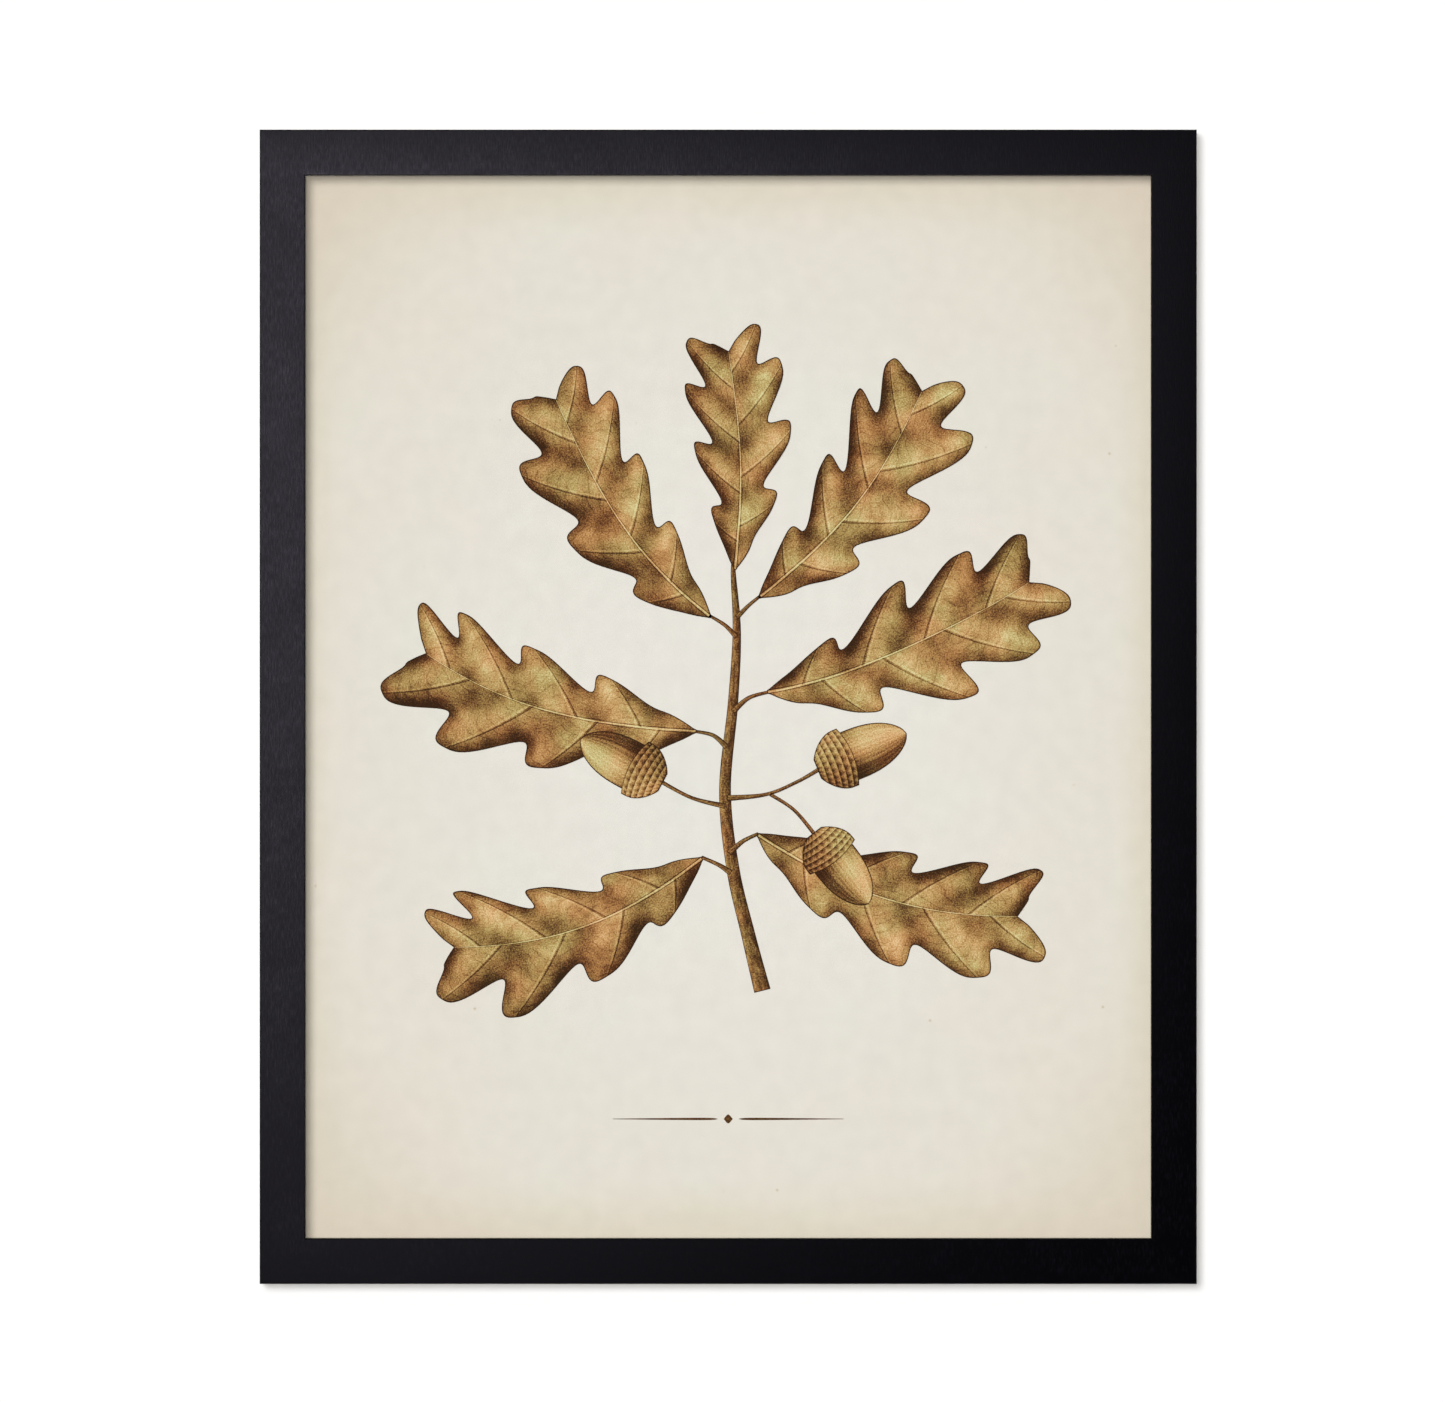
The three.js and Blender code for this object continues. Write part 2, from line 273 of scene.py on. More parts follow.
def newTree(name, inputs, shapeOf):
    # shapeOf makes the tree's nodes; at the end its instances are made real and get their material
    tree = bpy.data.node_groups.new(name, "GeometryNodeTree")
    tree.is_modifier = True
    tree.interface.new_socket("Geometry", in_out="OUTPUT", socket_type="NodeSocketGeometry")
    for label, kind in {"Geometry": "Geometry", **inputs, "Material": "Material"}.items():
        tree.interface.new_socket(label, in_out="INPUT", socket_type="NodeSocket" + kind)
    add = partial(addNode, tree)
    given = add("GroupInput").outputs
    real = add("RealizeInstances", {0: shapeOf(add, given)})
    add("GroupOutput", {0: add("SetMaterial", {"Geometry": real, "Material": given["Material"]})})
    return tree


def toMesh(mesh, made, smooth=True):
    # turns a bmesh into a mesh, with its faces outwards
    bmesh.ops.recalc_face_normals(mesh, faces=mesh.faces)
    mesh.to_mesh(made)
    mesh.free()
    if smooth:
        made.shade_smooth()
        made.set_sharp_from_angle(angle=math.radians(sharpFrom))
    return made


def plainMesh(maker, name):
    # what the modifiers make of an object, as a mesh of its own
    bpy.context.view_layer.update()
    made = bpy.data.meshes.new_from_object(maker.evaluated_get(bpy.context.evaluated_depsgraph_get()))
    bpy.data.objects.remove(maker)
    made.name = name
    mesh = bmesh.new()
    mesh.from_mesh(made)
    bmesh.ops.remove_doubles(mesh, verts=mesh.verts, dist=0.000001)
    return toMesh(mesh, made)


def grown(name, base, tree, values):
    # runs a tree on a base mesh; inputs are set by identifier before the first evaluation
    maker = addPiece(name, base)
    modifier = maker.modifiers.new(name, "NODES")
    modifier.node_group = tree
    for item in tree.interface.items_tree:
        if item.in_out == "INPUT" and item.name in values:
            modifier[item.identifier] = values[item.name]
    return addPiece(name, plainMesh(maker, name))


# the four rails

moulding = {
    "face": 21.3,
    "body": 14.3,
    "depth": 17.5,
    "lip": 6.5,
    "frontArris": 0.8,
    "backArris": 0.3,
    "mitreGap": 0.02,
    "stations": 9,
    "grainShift": 700,  # so that no two rails have the same grain
    "stain": "#030305",
    "streak": "#100d12",
    "grain": (0.7, 45),  # width and length
    "fleck": (0.65, 4),  # open pores, drawn coarser than real ones to show
    "unevenness": 16,  # size of the cloudy patches in the lacquer
    "roughness": 0.58,
    "rubbedBelow": 0.25,  # how strongly the marks show at the frame's foot
    "rubbedAbove": 0.52,  # and at its head
    "bareWood": "#c9a97c",
    "bareStreak": "#a37f50",
    "ring": (2.4, 260),  # width and length of the pine's growth rings
    "overspray": 2.6,  # how far the stain creeps over the bare back
    "raggedness": (3, 9),
}


def sectionOutline():
    # the moulding's section as a loop of edges, from the rabbet's inner corner round to it again
    face, body, depth, lip = (moulding[key] for key in ("face", "body", "depth", "lip"))
    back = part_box("back_board")[1].y / mm
    front = back - depth
    arris, small = moulding["frontArris"], moulding["backArris"]
    corners = [
        # in from the outer edge, depth, radius; first and last are a hair apart, so that "run" has an end
        (body, front + lip, 0),
        (body, back, small),
        (0, back, small),
        (0, front, arris),
        (face, front, arris),
        (face, front + lip, small),
        (body + 0.01, front + lip, 0),
    ]
    points = []
    for i, (x, y, radius) in enumerate(corners):
        here = Vector((x, y))
        before = (Vector(corners[i - 1][:2]) - here).normalized()
        after = (Vector(corners[(i + 1) % len(corners)][:2]) - here).normalized()
        steps = 6 if radius > 0.5 else 3
        for k in range(steps + 1 if radius else 1):
            t = k / steps
            points.append(here + before * radius * (1 - t) ** 2 + after * radius * t**2)
    mesh = bpy.data.meshes.new("section")
    edges = [(i, (i + 1) % len(points)) for i in range(len(points))]
    mesh.from_pydata([(p.x * mm, p.y * mm, 0) for p in points], edges, [])
    run = mesh.attributes.new("run", "FLOAT", "POINT")
    distance = 0.0
    for i, point in enumerate(points):
        distance += (point - points[i - 1]).length if i else 0
        run.data[i].value = distance
    return mesh


def mitredRail(add, given):
    # carries the section along X; each end leans in by its own inset, which is the 45 degree mitre
    where = add("InputPosition")
    outline = add("MeshToCurve", {0: given["Geometry"]})
    section = add("StoreNamedAttribute", {
        "data_type": "FLOAT_VECTOR", "Name": "section", "Geometry": outline, "Value": where
    })
    line = add("CurvePrimitiveLine", {"Start": (-1, 0, 0), "End": (1, 0, 0)})
    resampled = add("ResampleCurve", {"Curve": line, "Count": given["Stations"]})
    onLine = add("SeparateXYZ", {0: where}).outputs["X"]
    course = add("StoreNamedAttribute", {"Name": "along", "Geometry": resampled, "Value": onLine})
    swept = add("CurveToMesh", {"Fill Caps": True, "Curve": course, "Profile Curve": section})
    inset = add("SeparateXYZ", {
        0: add("InputNamedAttribute", {"data_type": "FLOAT_VECTOR", "Name": "section"})
    }).outputs
    along, run = (add("InputNamedAttribute", {"Name": name}) for name in ("along", "run"))
    clear = add("Math SUBTRACT", {0: given["Length"], 1: given["Mitre Gap"]})
    half = add("Math MULTIPLY", {0: clear, 1: 0.5})
    reach = add("Math SUBTRACT", {0: half, 1: inset["X"]})
    across = add("Math MULTIPLY", {0: reach, 1: along})
    down = add("Math MULTIPLY", {0: inset["X"], 1: -1})
    point = add("CombineXYZ", {"X": across, "Y": inset["Y"], "Z": down})
    shaped = add("SetPosition", {"Geometry": swept, "Position": point})
    u = add("Math MULTIPLY_ADD", {0: across, 1: 1 / mm, 2: given["Grain Offset"]})
    uv = add("CombineXYZ", {"X": u, "Y": run})
    mapped = add("StoreNamedAttribute", {
        "data_type": "FLOAT2", "domain": "CORNER", "Name": "alongGrain", "Geometry": shaped, "Value": uv
    })
    turn = add("CombineXYZ", {"Y": given["Turn"]})
    return add("Transform", {"Geometry": mapped, "Rotation": turn, "Translation": given["Place"]})


def stainedWood(add):
    # straight-grained softwood, black stained and lacquered satin: nearly black, faintly streaked in its
    # sheen; the rabbet and the back are bare, with a ragged edge where the stain crept round
    place = inMillimetres(add)
    uv = add("UVMap", {"uv_map": "alongGrain"})
    onGrain = {}
    for key in ("grain", "ring", "raggedness"):
        wide, long = moulding[key]
        onGrain[key] = add("Mapping", {"Scale": (1 / long, 1 / wide, 1), "Vector": uv})
    streaks = add("TexNoise", {"Scale": 1, "Detail": 5, "Roughness": 0.6, "Vector": onGrain["grain"]})
    # over the grain, the marks of rubbing the lacquer down, from top to bottom of the whole frame
    wide, long = moulding["fleck"]
    rubbing = add("Mapping", {"Scale": (1 / wide, 1 / wide, 1 / long), "Vector": place})
    flecks = add("TexNoise", {"Scale": 1, "Detail": 3, "Vector": rubbing})
    clouds = add("TexNoise", {"Scale": 1 / moulding["unevenness"], "Detail": 3, "Vector": place})
    marks = add("Math MULTIPLY_ADD", {0: clouds, 1: 0.3, 2: flecks})
    worn = add("Math MULTIPLY_ADD", {0: streaks, 1: 0.12, 2: marks})
    stain = tinted(add, moulding["stain"], [(worn, 0.72, 1.06, 1, moulding["streak"])])
    # bare pine: wide pale early wood and narrow darker late wood
    rings = add("TexNoise", {"Scale": 1, "Detail": 3, "Distortion": 0.3, "Vector": onGrain["ring"]})
    mingled = add("Math MULTIPLY_ADD", {0: streaks, 1: 0.4, 2: rings})
    pine = tinted(add, moulding["bareWood"], [(mingled, 0.58, 0.86, 1, moulding["bareStreak"])])
    # bare from the rabbet's corner, run 0, to the back's outer edge
    bareEnd, overspray = moulding["depth"] - moulding["lip"] + moulding["body"], moulding["overspray"]
    run = add("SeparateXYZ", {0: uv}).outputs["Y"]
    creep = add("TexNoise", {"Scale": 1, "Detail": 4, "Roughness": 0.7, "Vector": onGrain["raggedness"]})
    edge = add("Math MULTIPLY_ADD", {0: creep, 1: 2 * overspray, 2: run})
    stained = add("MapRange", {
        "interpolation_type": "SMOOTHSTEP", "From Min": bareEnd - 0.6 * overspray,
        "From Max": bareEnd + 0.8 * overspray, "Value": edge
    })
    coloured = add("Mix", {"data_type": "RGBA", "Factor": stained, "A": pine, "B": stain})
    # rubbed down hardest at the top of the frame
    rubbed = add("MapRange", {
        "From Min": outer["bottom"] / mm, "From Max": outer["top"] / mm, "To Min": moulding["rubbedBelow"],
        "To Max": moulding["rubbedAbove"], "Value": add("SeparateXYZ", {0: place}).outputs["Z"]
    })
    uneven = add("MapRange", {
        "From Min": 0.42, "From Max": 1, "To Min": -0.32, "To Max": 0.32, "Value": worn
    })
    satin = add("Math MULTIPLY_ADD", {0: uneven, 1: rubbed, 2: moulding["roughness"]})
    rough = add("Mix", {"Factor": stained, "A": 0.8, "B": satin})
    bump = add("Bump", {"Distance": 0.0002, "Strength": rubbed, "Height": worn})
    return add("BsdfPrincipled", {"Base Color": coloured, "Roughness": rough, "Normal": bump})


railInputs = {
    "Length": "Float", "Mitre Gap": "Float", "Stations": "Int", "Grain Offset": "Float", "Turn": "Float",
    "Place": "Vector"
}
railTree = newTree("mitredRail", railInputs, mitredRail)
railSection = sectionOutline()
blackWood = newMaterial("blackStainedPine", stainedWood)
width, height = outer["right"] - outer["left"], outer["top"] - outer["bottom"]
rails = {
    # length, turn, middle of the outer edge
    "top": (width, 0, (0, 0, outer["top"])),
    "bottom": (width, math.pi, (0, 0, outer["bottom"])),
    "left": (height, -math.pi / 2, (outer["left"], 0, middle.z)),
    "right": (height, math.pi / 2, (outer["right"], 0, middle.z)),
}
madeRails = []
for order, (side, (length, turn, place)) in enumerate(rails.items()):
    rail = grown(f"moulding_{side}", railSection, railTree, {
        "Length": length, "Mitre Gap": moulding["mitreGap"] * mm, "Stations": moulding["stations"],
        "Grain Offset": float(moulding["grainShift"] * order), "Turn": turn, "Place": place,
        "Material": blackWood
    })
    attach(rail, "frame")
    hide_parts(f"rail_{side}")
    madeRails.append(rail)
addGroup("litBySheen", lit["sheen"], madeRails)
print("rails mitred")

# the paper

paper = {
    "middle": "#dbd6d2",
    "broadYellowing": "#d7d0c8",
    "agedEdge": "#d3c9bb",
    "corner": "#cfc3b5",
    "foxing": "#b09a72",
    "pinkish": "#fffaf8",
    "greenish": "#fafffa",
    "edgeAcross": 20,  # how far the browning creeps in from the sides
    "edgeDown": 34,  # and from the top and bottom
    "edgeBeyond": 7,  # how far under the rails it is full
    "wander": 8,  # how far its inner edge strays
    "drift": 28,  # length of its bends
    "handled": 55,  # size of the marks that hands leave
    "blotch": 9,
    "foxingApart": 26,
    "fibre": 1.1,  # drawn coarser than a real fibre, to show at arm's length
}


def agedPaper(add):
    # uncoated rag paper, yellowed all over and browned where the air got in at its edges
    centred = inMillimetres(add, 0, middle)
    bends = 1 / paper["drift"]
    drift = add("TexNoise", {"Scale": bends, "Detail": 3, "Roughness": 0.6, "Vector": centred})
    creep = add("MapRange", {"To Min": -paper["wander"], "To Max": paper["wander"], "Value": drift})
    apart = add("SeparateXYZ", {0: centred})
    # half of what shows between the rails, across and up
    halves = [side / 2 / mm - moulding["face"] for side in (width, height)]
    browning = []
    for axis, half, reach in zip("XZ", halves, (paper["edgeAcross"], paper["edgeDown"])):
        out = add("Math ABSOLUTE", {0: apart.outputs[axis]})
        browning.append(add("MapRange", {
            "interpolation_type": "SMOOTHERSTEP", "From Min": half - reach,
            "From Max": half + paper["edgeBeyond"], "Value": add("Math ADD", {0: out, 1: creep})
        }))
    edge = add("Math ADD", {"use_clamp": True, 0: browning[0], 1: browning[1]})
    squeeze = (1 / halves[0], 0, 1 / halves[1])
    oval = add("VectorMath MULTIPLY", {0: centred, 1: squeeze})
    radius = add("VectorMath LENGTH", {0: oval})
    # the whole sheet yellows outwards; the corners, thumbed and aired from two sides, are darkest
    outwards = {"interpolation_type": "SMOOTHSTEP", "Value": radius}
    broad = add("MapRange", {**outwards, "From Min": 0.25, "From Max": 1.15})
    inCorner = add("MapRange", {**outwards, "From Min": 1, "From Max": 1.42})
    tint = paper["middle"]
    for share, stronger in ((broad, "broadYellowing"), (edge, "agedEdge"), (inCorner, "corner")):
        tint = add("Mix", {"data_type": "RGBA", "Factor": share, "A": tint, "B": paper[stronger]})
    # cloudy handling marks, a shade pinker or greener than the sheet
    cloud = add("TexNoise", {"Scale": 1 / paper["handled"], "Detail": 4, "Vector": centred})
    hues = add("Mix", {"data_type": "RGBA", "Factor": cloud, "A": paper["pinkish"], "B": paper["greenish"]})
    clouded = add("Mix", {"data_type": "RGBA", "blend_type": "MULTIPLY", "Factor": 1, "A": tint, "B": hues})
    fibres = add("TexNoise", {"Scale": 1 / paper["fibre"], "Detail": 4, "Roughness": 0.7, "Vector": centred})
    blotches = add("TexNoise", {"Scale": 1 / paper["blotch"], "Detail": 3, "Vector": centred})
    texture = add("Math ADD", {0: fibres, 1: blotches})
    dimmed = add("MapRange", {
        "From Min": 0.7, "From Max": 1.3, "To Min": 0.955, "To Max": 1.03, "Value": texture
    })
    fibred = add("VectorMath SCALE", {0: clouded, "Scale": dimmed})
    # a few foxing specks
    cells = add("TexVoronoi", {"Scale": 1 / paper["foxingApart"], "Vector": centred})
    foxed = tinted(add, fibred, [(cells, 0.034, 0.016, 0.5, paper["foxing"])])
    bump = add("Bump", {"Strength": 0.2, "Distance": 0.00004, "Height": fibres})
    return add("BsdfPrincipled", {
        "Roughness": 0.92, "Specular IOR Level": 0.2, "Base Color": foxed, "Normal": bump
    })


dress(frame["nodes"]["print_sheet"].data, newMaterial("agedRagPaper", agedPaper))

# the printed picture: an oak sprig in brown and ochre inks

ink = {
    "proud": 0.02,  # gap from the paper to the first layer
    "film": 0.06,
    "layerStep": 0.08,
    "borderStep": 0.3,  # how finely a film's border is divided, to tell how far off it is
    "darkest": "#362317",
    "dark": "#66432a",
    "mid": "#a07a4c",
    "light": "#c2a06e",
    "pale": "#dccaa2",
    "grain": 0.7,  # width of the stone's grain, drawn coarse enough to show
    "russet": "#ffede2",  # two tints that lie over the inks in patches
    "olive": "#f0fdec",
    "patch": 24,
}


def inkFilm(name, grid, layer, material, uvs, tones=None):
    # a closed film of ink over a grid of points (across, up) in millimetres from the sheet's middle
    rows, columns = len(grid), len(grid[0])
    rim = [(0, j) for j in range(columns - 1)] + [(i, columns - 1) for i in range(rows - 1)]
    rim += [(rows - 1, j) for j in range(columns - 1, 0, -1)] + [(i, 0) for i in range(rows - 1, 0, -1)]
    rimSteps = list(zip(rim, rim[1:] + rim[:1]))
    dense = []
    for (a, b), (c, d) in rimSteps:
        start, end = grid[a][b], grid[c][d]
        steps = max(1, int((end - start).length / ink["borderStep"]))
        dense += [start.lerp(end, k / steps) for k in range(steps)]
    tree = KDTree(len(dense))
    for i, point in enumerate(dense):
        tree.insert((point.x, point.y, 0), i)
    tree.balance()
    mesh = bmesh.new()
    uvLayer = mesh.loops.layers.uv.new("inkUv")
    edgeLayer = mesh.verts.layers.float.new("edge")
    toneLayer = mesh.verts.layers.float.new("tone")
    low = paperFrontY - (ink["proud"] + layer * ink["layerStep"]) * mm
    verts = {}
    for side, y in enumerate((low - ink["film"] * mm, low)):
        for i, line in enumerate(grid):
            for j, point in enumerate(line):
                vert = mesh.verts.new((middle.x + point.x * mm, y, middle.z + point.y * mm))
                vert[edgeLayer] = tree.find((point.x, point.y, 0))[2]
                vert[toneLayer] = tones[i][j] if tones else 0
                verts[side, i, j] = vert

    def addFace(corners, cell=None):
        # corners are (side, row, column); a rim's face takes its cell from each corner
        face = mesh.faces.new([verts[corner] for corner in corners])
        for loop, (side, i, j) in zip(face.loops, corners):
            loop[uvLayer].uv = uvs(i, j, min(j, columns - 2) if cell is None else cell)

    for side in (0, 1):
        for i in range(rows - 1):
            for j in range(columns - 1):
                corners = [(side, i, j), (side, i, j + 1), (side, i + 1, j + 1), (side, i + 1, j)]
                addFace(corners[::-1] if side else corners, j)
    for here, after in rimSteps:
        addFace([(0, *here), (1, *here), (1, *after), (0, *after)])
    film = addPiece(name, toMesh(mesh, bpy.data.meshes.new(name), False), material)
    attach(film, "frame")


def lithographInk(add, toneOf):
    # a flat, matt lithograph: the tone is broken up by the stone's grain and falls into a few inks
    flat = inMillimetres(add, 0)
    uv = add("UVMap", {"uv_map": "inkUv"})
    apart = add("SeparateXYZ", {0: uv}).outputs
    edge = add("Attribute", {"attribute_name": "edge"}).outputs["Fac"]
    tone = toneOf(add, flat, uv, apart["X"], apart["Y"], edge)
    grain = add("TexNoise", {"Scale": 1 / ink["grain"], "Detail": 2, "Roughness": 0.75, "Vector": flat})
    broken = shiftedTone(add, tone, [(grain, 0.3, 0.7, -0.27, 0.27)])
    inks = add("ValToRGB", {"Fac": broken})
    stops = ((0.0, "darkest"), (0.22, "dark"), (0.48, "mid"), (0.72, "light"), (1.0, "pale"))
    for i, (at, key) in enumerate(stops):
        stop = inks.color_ramp.elements[i] if i < 2 else inks.color_ramp.elements.new(at)
        stop.position, stop.color = at, linearColour(ink[key])
    wandering = add("TexNoise", {"Scale": 1 / ink["patch"], "Detail": 3, "Roughness": 0.6, "Vector": flat})
    glaze = tinted(add, ink["russet"], [(wandering, 0.38, 0.62, 1, ink["olive"])])
    glazed = add("Mix", {"data_type": "RGBA", "blend_type": "MULTIPLY", "Factor": 1, "A": inks, "B": glaze})
    return add("BsdfPrincipled", {"Roughness": 0.85, "Specular IOR Level": 0.2, "Base Color": glazed})


def shiftedTone(add, tone, steps):
    # each step: what it follows, from, to, and how far it shifts the tone at either end
    for source, low, high, atLow, atHigh in steps:
        shift = add("MapRange", {
            "From Min": low, "From Max": high, "To Min": atLow, "To Max": atHigh, "Value": source
        })
        tone = add("Math ADD", {0: tone, 1: shift})
    return tone


leafRules = {
    "rows": 120,
    "halfColumns": 10,
    "lobes": 4.4,
    "lobeSpread": 0.92,  # below 1, the lobes are shorter towards the base
    "sinus": 0.56,  # how deep the bays between lobes cut in
    "sidePhase": 0.32,  # the right side's lobes stand this share of a lobe ahead
    "veinLeanBase": 66,
    "veinLeanTip": 40,
    "veinCurl": 16,  # side veins bend this far towards the tip as they near the margin
    "veinlets": 8,  # fine veins across each panel
    "veinletWander": 6,  # length of their bends
    "blotch": 13,
    "tone": 0.55,
    "firstSeed": 41,
}


def leafTone(add, flat, uv, along, across, edge):
    rib = add("Attribute", {"attribute_name": "tone"}).outputs["Fac"]
    phase = add("Math FRACT", {0: along})
    outwards = add("Math ABSOLUTE", {0: across})
    # each panel between two side veins bulges: light behind its vein, in shade before the next
    turns = add("Math MULTIPLY_ADD", {0: phase, 1: 2 * math.pi, 2: -1.1})
    wave = add("Math COSINE", {0: turns})
    tone = add("Math MULTIPLY_ADD", {0: wave, 1: 0.15, 2: leafRules["tone"]})
    blotch = 1 / leafRules["blotch"]
    patches = add("TexNoise", {"Scale": blotch, "Detail": 5, "Roughness": 0.6, "Vector": flat})
    tone = shiftedTone(add, tone, [
        (patches, 0.3, 0.7, -0.27, 0.19),  # autumn blotches
        (across, -0.6, 0.6, 0.1, -0.1),  # the far half lies in shade
        (edge, 0.3, 6.0, -0.3, 0.0),  # browned margin
        (edge, 0.22, 0.55, -0.75, 0.0),  # outline
        (rib, 0.75, 1.25, -0.4, 0.0),  # either side of the midrib
        (rib, 0.4, 0.7, 0.75, 0.0),  # the midrib itself
    ])
    # side veins: a fine dark line that thins towards the margin, with a light edge
    fromHalf = add("Math SUBTRACT", {0: phase, 1: 0.5})
    away = add("Math ABSOLUTE", {0: fromHalf})
    veinAt = add("MapRange", {"To Min": 0.474, "To Max": 0.494, "Value": outwards})
    vein = add("Math GREATER_THAN", {0: away, 1: veinAt})
    tone = add("Math MULTIPLY_ADD", {0: vein, 1: -0.34, 2: tone})
    lightAt = add("MapRange", {"To Min": 0.075, "To Max": 0.03, "Value": outwards})
    lightEdge = add("Math LESS_THAN", {0: phase, 1: lightAt})
    tone = add("Math MULTIPLY_ADD", {0: lightEdge, 1: 0.14, 2: tone})
    # veinlets run across the panels, and wander
    wander = add("TexNoise", {"Scale": 1 / leafRules["veinletWander"], "Vector": flat})
    ladder = add("Math MULTIPLY_ADD", {0: outwards, 1: leafRules["veinlets"], 2: wander})
    slanted = add("Math MULTIPLY_ADD", {0: phase, 1: 1.6, 2: ladder})
    rung = add("Math PINGPONG", {0: slanted, 1: 0.5})
    return shiftedTone(add, tone, [(rung, 0.03, 0.1, -0.12, 0)])


leafInk = newMaterial("ochreLeafInk", lithographInk, leafTone)


def towards(angle):
    return Vector((math.cos(angle), math.sin(angle)))


def oakLeaf(name, base, heading, length, width, bend, layer, seed):
    draw = random.Random(seed)
    rows, half, lobes, phase = (leafRules[key] for key in ("rows", "halfColumns", "lobes", "sidePhase"))
    spread, leanBase, leanTip = (leafRules[key] for key in ("lobeSpread", "veinLeanBase", "veinLeanTip"))
    lobeSizes = [draw.uniform(-1, 1) for _ in range(9)]
    sway = draw.uniform(-3, 3)
    curl = math.radians(leafRules["veinCurl"]) / 2
    lastBay = math.floor(lobes) + 0.5
    bayAt = ((lastBay - phase) / lobes) ** (1 / spread)
    grid, ribs, veinIndex = [], [], []
    point, turn = Vector(base), math.radians(heading)
    for i in range(rows + 1):
        t = i / rows
        course = turn + math.radians(bend) * (t - 0.35) + 0.05 * math.sin(5 * t + sway)
        if i:
            point = point + towards(course) * (length / rows)
        envelope = (t**0.85 * (1 - t) ** 0.5) / 0.518 if 0 < t < 1 else 0  # 1 at its widest
        lean = math.radians(leanBase + (leanTip - leanBase) * t)
        veinIndex.append(lobes * t**spread)
        line, ribLine = [], []
        for j in range(-half, half + 1):
            side = 1 if j > 0 else -1
            k = veinIndex[i] + (phase if side > 0 else 0)
            # past its last bay a side starts no new lobe, and runs straight to the tip
            fade = ((1 - t) / (1 - bayAt)) ** 0.5 if k > lastBay else 1
            k = min(k, lastBay)
            step = k % 1
            ease = step * step * (3 - 2 * step)
            size = lobeSizes[int(k) % 8] * (1 - ease) + lobeSizes[int(k) % 8 + 1] * ease
            bay = (0.5 - 0.5 * math.cos(2 * math.pi * k)) ** 1.7
            depth = leafRules["sinus"] * min(1, 4.5 * t) * (1 - 0.35 * t) * (1 + 0.2 * size)
            wide = envelope * fade * (1 - depth * bay) * (1 + 0.1 * size)
            reach = abs(j) / half * width / 2 * max(wide, 0.012 * (1 - t) + 0.004)
            angle = course + side * (lean - curl * abs(j) / half)
            line.append(point + towards(angle) * reach)
            ribLine.append(reach * math.sin(lean) / max(0.35, 1 - 0.75 * t))
        grid.append(line)
        ribs.append(ribLine)

    def uvs(i, j, cell):
        return (veinIndex[i] + (phase if cell >= half else 0), (j - half) / half)

    inkFilm(name, grid, layer, leafInk, uvs, ribs)


def between(p, q, r, s, t):
    # on the way from q to r, of a smooth course through all four
    return 0.5 * (2 * q + (r - p) * t + (2 * p - 5 * q + 4 * r - s) * t * t + (3 * q - p - 3 * r + s) * t**3)


def smoothPath(points, perSpan=12):
    # a curve through the points, as in a pen stroke; each point may carry more values, such as a width
    padded = [points[0], *points, points[-1]]
    path = []
    for four in zip(padded, padded[1:], padded[2:], padded[3:]):
        path += [[between(*each, k / perSpan) for each in zip(*four)] for k in range(perSpan)]
    return path + [list(points[-1])]


def inkStroke(name, points, layer, material, half=4):
    # points are (across, up, width); the stroke swells and thins with the width, over twice half columns
    path = smoothPath(points)
    grid, runs, run = [], [], 0.0
    for i, (x, y, wide) in enumerate(path):
        a, b = path[max(0, i - 1)], path[min(len(path) - 1, i + 1)]
        along = Vector((b[0] - a[0], b[1] - a[1])).normalized()
        normal = Vector((-along.y, along.x))
        if i:
            run += math.hypot(x - path[i - 1][0], y - path[i - 1][1])
        runs.append(run)
        grid.append([Vector((x, y)) + normal * (wide / 2 * j / half) for j in range(-half, half + 1)])
    inkFilm(name, grid, layer, material, lambda i, j, cell: (runs[i], (j - half) / half))


fissure = (0.625, 7)  # width and length in the twig's bark


def barkTone(add, flat, uv, along, across, edge):
    stretched = add("Mapping", {"Scale": (1 / fissure[1], 1 / fissure[0], 1), "Vector": uv})
    fissures = add("TexNoise", {"Scale": 1, "Detail": 4, "Roughness": 0.7, "Vector": stretched})
    tone = add("MapRange", {
        "From Min": -0.9, "From Max": 1, "To Min": 0.06, "To Max": 0.5, "Value": across
    })
    return shiftedTone(add, tone, [(fissures, 0.3, 0.7, -0.28, 0.25), (edge, 0.1, 0.45, -0.5, 0)])


def nutTone(add, flat, uv, along, across, edge):
    stretched = add("Mapping", {"Scale": (0.9, 9, 1), "Vector": uv})
    streaks = add("TexNoise", {"Scale": 1, "Detail": 3, "Vector": stretched})
    fromGleam = add("Math ADD", {0: across, 1: -0.38})
    tone = add("MapRange", {
        "interpolation_type": "SMOOTHSTEP", "From Max": 1.25, "To Min": 0.86, "To Max": 0.16,
        "Value": add("Math ABSOLUTE", {0: fromGleam})
    })
    return shiftedTone(add, tone, [
        (streaks, 0.3, 0.7, -0.16, 0.16),
        (along, 0.0, 0.4, -0.45, 0.0),  # shade under the cup
        (edge, 0.2, 0.6, -0.6, 0.0),
    ])


